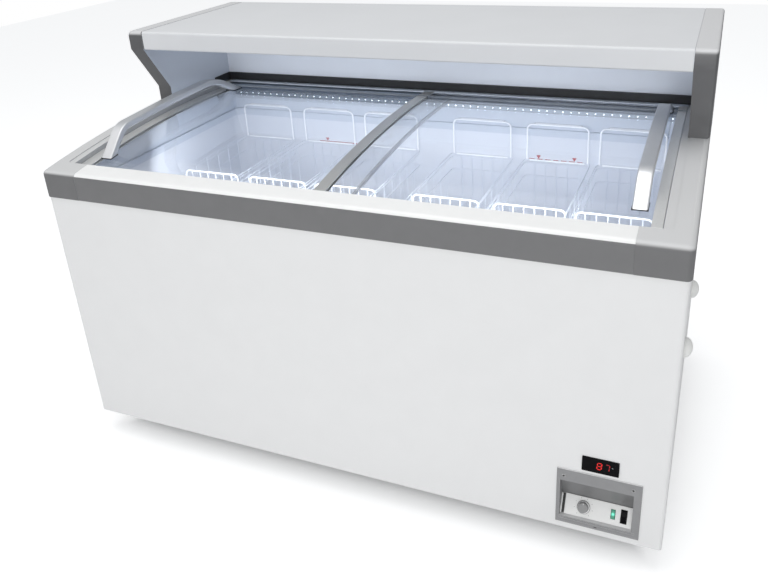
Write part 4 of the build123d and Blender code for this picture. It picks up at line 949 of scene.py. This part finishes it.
def paintKnobShadow(spec):
    # painted shadow: a dark ring on the plate round the knob
    shadowRing = [(spec["radius"] + step, level) for step, level in spec["shadowRing"]]
    verts, faces = ringAround(onPlate(spec["place"], spec["row"]), plate["out"], plate["up"], shadowRing)
    addMesh("knob_shadow_ring", verts, faces, "printAndShadeGrey", "cabinet", "bezel_grey")


def makeTicks(spec):
    centre = Vector((knob["place"], knob["row"]))
    for n in range(spec["count"]):
        turn = radians(spec["firstAngle"] + spec["sweep"] * n / (spec["count"] - 1))
        ahead = Vector((cos(turn), sin(turn)))
        side = Vector((-ahead.y, ahead.x)) * spec["wide"] / 2
        a = centre + ahead * spec["radius"]
        b = centre + ahead * (spec["radius"] + spec["long"])
        corners = [onPlate(v.x, v.y) for v in (a - side, b - side, b + side, a + side)]
        addBlock(f"dial_tick_{n + 1}", corners, spec["proud"], plate["out"], "printAndShadeGrey", "bezel_grey")


makeKnob(knob)
makeTicks(ticks)
# the slot in black is painted shade in the gap
for label, material, slot in (("edge", "plateWhite", "plate_white"), ("slot", "shadeBlack", "black_plastic")):
    corners = plateOblong(*plate[label], plate["low"], plate["high"])
    addBlock(f"plate_{label}", corners, plate["proud"], plate["out"], material, slot)


# bezel: soft raised border, screws, ridges on the lower band and a notch; the screws' crosses and the notch are black
# marks, painted shade in their recesses
bezel = {
    # border as (inset, depth), swept round the rectangle
    "border": ((0.0001, 0.0018), (0.0003, 0.0006), (0.0011, -0.0001), (0.0022, -0.0004), (0.0032, -0.0004),
               (0.0040, 0.0001)),
    "screws": ((0.538, 0.2175), (0.681, 0.219)),
    "screwDome": ((0.0042, -0.0004), (0.0040, 0.0), (0.0030, 0.0002), (0.0016, 0.0003), (0, 0.0003)),
    "crosses": {"wide": (0.0026, 0.0008), "tall": (0.0008, 0.0026)}, "crossLift": 0.0003, "crossProud": 0.00006,
    "ridges": (0.0985, 0.1035), "ridgeSpan": (0.530, 0.690), "ridgeTall": 0.0014, "ridgeProud": 0.0004,
    "ridgeEdge": 0.0002, "notch": (0.606, 0.612, 0.0935, 0.0955), "notchProud": 0.0001,
}
frontward = (0, -1, 0)


def addBorder(name, low, high, profile, material, slot):
    verts, faces = [], []
    for inset, depth in profile:
        verts += facingFront(low.y + depth, low.x + inset, high.x - inset, low.z + inset, high.z - inset)
    for ring in range(len(profile) - 1):
        for k in range(4):
            a, b = 4 * ring + k, 4 * ring + (k + 1) % 4
            faces.append((a, b, b + 4, a + 4))
    addMesh(name, verts, faces, material, "cabinet", slot, sharp=40)


def makeBezel(spec):
    low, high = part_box("control_bezel")
    addBorder("bezel_border", low, high, spec["border"], "bezelGrey", "bezel_grey")
    paintKnobShadow(knob)
    for number, (x, z) in enumerate(spec["screws"], 1):
        verts, faces = ringAround((x, low.y, z), frontward, (0, 0, 1), spec["screwDome"], steps=24)
        addMesh(f"bezel_screw_{number}", verts, faces, "ringChrome", "cabinet", "bezel_grey")
        # painted shade: each screw's cross recess as a black mark
        for label, (wide, tall) in spec["crosses"].items():
            cross = facingFront(low.y - spec["crossLift"], x - wide, x + wide, z - tall, z + tall)
            name = f"screw_cross_{number}_{label}"
            addBlock(name, cross, spec["crossProud"], frontward, "shadeBlack", "black_plastic")
    for number, z in enumerate(spec["ridges"], 1):
        ridge = facingFront(low.y, *spec["ridgeSpan"], z, z + spec["ridgeTall"])
        addBlock(f"bezel_ridge_{number}", ridge, spec["ridgeProud"], frontward, "bezelGrey", "bezel_grey",
                 edge=spec["ridgeEdge"])
    # painted shade: the notch as a black mark
    notch = facingFront(low.y, *spec["notch"])
    addBlock("bezel_notch", notch, spec["notchProud"], frontward, "shadeBlack", "black_plastic")


makeBezel(bezel)
print("controls made")


# temperature figures: bars of light on the dark window, and a small mark beside them
display = {
    "face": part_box("display_window")[0].y, "middle": 0.2622, "tall": 0.0162, "wide": 0.0088, "bar": 0.0018,
    "lean": 0.10, "proud": 0.00015,
    "figures": (("8", 0.6100, "figureRed"), ("7", 0.6258, "figureDim")),
    "mark": ((0.6352, 0.2640), (0.6378, 0.2630), (0.6378, 0.2640), (0.6352, 0.2650)), "markProud": 0.0001,
}
barsOf = {"8": "abcdefg", "7": "abc"}


def makeFigure(name, bars, x, material, spec):
    w, h, t = spec["wide"] / 2, spec["tall"] / 2, spec["bar"] / 2
    # middle of each bar, and whether it lies flat
    spots = {
        "a": (0, h, True), "g": (0, 0, True), "d": (0, -h, True),
        "b": (w, h / 2, False), "c": (w, -h / 2, False), "f": (-w, h / 2, False), "e": (-w, -h / 2, False),
    }
    for bar in bars:
        px, pz, flat = spots[bar]
        half = (w if flat else h / 2) - t * 0.9
        outline = [(-half, 0), (-half + t, -t), (half - t, -t), (half, 0), (half - t, t), (-half + t, t)]
        if not flat:
            outline = [(b, a) for a, b in outline]
        corners = []
        for a, b in outline:
            z = pz + b
            corners.append((x + px + a + z * spec["lean"], spec["face"], spec["middle"] + z))
        addBlock(f"{name}_{bar}", corners, spec["proud"], frontward, material, "display_black")


for number, (figure, x, material) in enumerate(display["figures"], 1):
    makeFigure(f"figure_{number}", barsOf[figure], x, material, display)
mark = [(x, display["face"], z) for x, z in display["mark"]]
addBlock("display_mark", mark, display["markProud"], frontward, "inkPale", "plate_white")
print("display lit")


# diodes along the light strip
diodes = {
    "pitch": 0.0216, "reach": 0.655,
    "dome": ((0.0018, -0.0002), (0.0018, 0.0), (0.0018 * 0.7, 0.0006), (0, 0.0009)),
}


def addDiodes(spec):
    low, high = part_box("light_lens")
    reach = spec["reach"]
    count = int(2 * reach / spec["pitch"])
    places = [-reach + 2 * reach * n / count for n in range(count + 1)]
    level = (low.z + high.z) / 2
    domes = [ringAround((x, low.y, level), frontward, (0, 0, 1), spec["dome"], steps=12) for x in places]
    addMesh("diodes", *joined(domes), "diodeGlow", "cabinet", "light_lens")


addDiodes(diodes)


# bead along the foot of the black seal, painted pale as a sheen on its lip: its section as (depth, height)
bead = {"half": 0.688, "foot": 0.0006, "tall": 0.0058, "proud": 0.0012, "shoulder": 0.7, "soft": 0.0006}


def addBead(spec):
    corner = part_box("rear_seal")[0]
    face, low, high = corner.y, corner.z + spec["foot"], corner.z + spec["foot"] + spec["tall"]
    shoulder = face - spec["proud"] * spec["shoulder"]
    section = [(face, low), (shoulder, low + spec["soft"]), (face - spec["proud"], low + spec["tall"] / 2)]
    section += [(shoulder, high - spec["soft"]), (face, high)]
    verts = [(x, y, z) for x in (-spec["half"], spec["half"]) for y, z in section]
    count = len(section)
    faces = [(k, k + 1, k + 1 + count, k + count) for k in range(count - 1)]
    addMesh("seal_bead", verts, faces, "sealSheenGrey", "cabinet", "black_plastic")


addBead(bead)


# load marks on the rear wall of the tank: a line or dashes, with small arrows on it
loadMarks = {
    "wall": 0.2974, "height": 0.6470, "thick": 0.0042, "arrow": 0.0105, "arrowHalf": 0.6, "proud": 0.0003,
    "dash": 0.68,  # share of each step that is inked
    "runs": (("load_line", -0.387, -0.259, 1, (-0.359,)), ("load_dashes", 0.281, 0.437, 7, (0.307, 0.407))),
}


def addLoadLine(name, start, end, dashes, arrows, spec):
    wall, z, half, size = spec["wall"], spec["height"], spec["thick"] / 2, spec["arrow"]
    step = (end - start) / dashes
    inked = step * (1.0 if dashes == 1 else spec["dash"])
    marks = [facingFront(wall, start + step * n, start + step * n + inked, z - half, z + half) for n in range(dashes)]
    for x in arrows:
        wide = size * spec["arrowHalf"]
        marks.append([(x, wall, z + half), (x + wide, wall, z + half + size), (x - wide, wall, z + half + size)])
    for n, corners in enumerate(marks, 1):
        addBlock(f"{name}_{n}", corners, spec["proud"], frontward, "markRed", "tank_white")


for run in loadMarks["runs"]:
    addLoadLine(*run, loadMarks)
print("tank marked")


# round buffers on the right side
buffer = {"radius": 0.020, "foot": 0.0012, "footShare": 0.97}


def makeBuffers(spec):
    low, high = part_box("buffers")
    radius, foot = spec["radius"], spec["foot"]
    height = high.x - low.x
    dome = [(radius * spec["footShare"], 0), (radius, foot)]
    dome += [(radius * cos(radians(t)), foot + (height - foot) * sin(radians(t))) for t in range(10, 90, 10)]
    dome += [(0, height)]
    level = (low.z + high.z) / 2
    pair = [ringAround((low.x, y, level), (1, 0, 0), (0, 0, 1), dome) for y in (low.y + radius, high.y - radius)]
    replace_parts(addMesh("buffer_domes", *joined(pair), "bufferWhite", "cabinet", "buffer_white"), "buffers")


# castor wheels: half of each section as (radius, half width)
wheel = {
    "tyre": ((0.0172, -0.0088), (0.0180, -0.0096), (0.0222, -0.0098), (0.0240, -0.0085), (0.0248, -0.0055),
             (0.0250, 0.0)),
    "hub": ((0.0041, -0.0104), (0.0085, -0.0104), (0.0092, -0.0096), (0.0100, -0.0080), (0.0165, -0.0076),
            (0.0174, -0.0088)),
    "places": ("front_left", "front_right", "rear_left", "rear_right"),
}


def makeWheel(place, spec):
    low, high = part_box(f"castor_wheel_{place}")
    centre = (low + high) / 2
    body = f"wheel_{place}"
    section = list(spec["tyre"]) + [(r, -h) for r, h in reversed(spec["tyre"][:-1])]
    verts, faces = ringAround(centre, (1, 0, 0), (0, 0, 1), section)
    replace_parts(addMesh(f"tyre_{place}", verts, faces, "tyreGrey", body, "wheel_grey"), f"castor_wheel_{place}")
    hubs = [ringAround(centre, (sign, 0, 0), (0, 0, 1), spec["hub"]) for sign in (1, -1)]
    addMesh(f"hub_{place}", *joined(hubs), "hubGrey", body, "wheel_grey")


makeBuffers(buffer)
for place in wheel["places"]:
    makeWheel(place, wheel)
print("buffers and wheels turned")
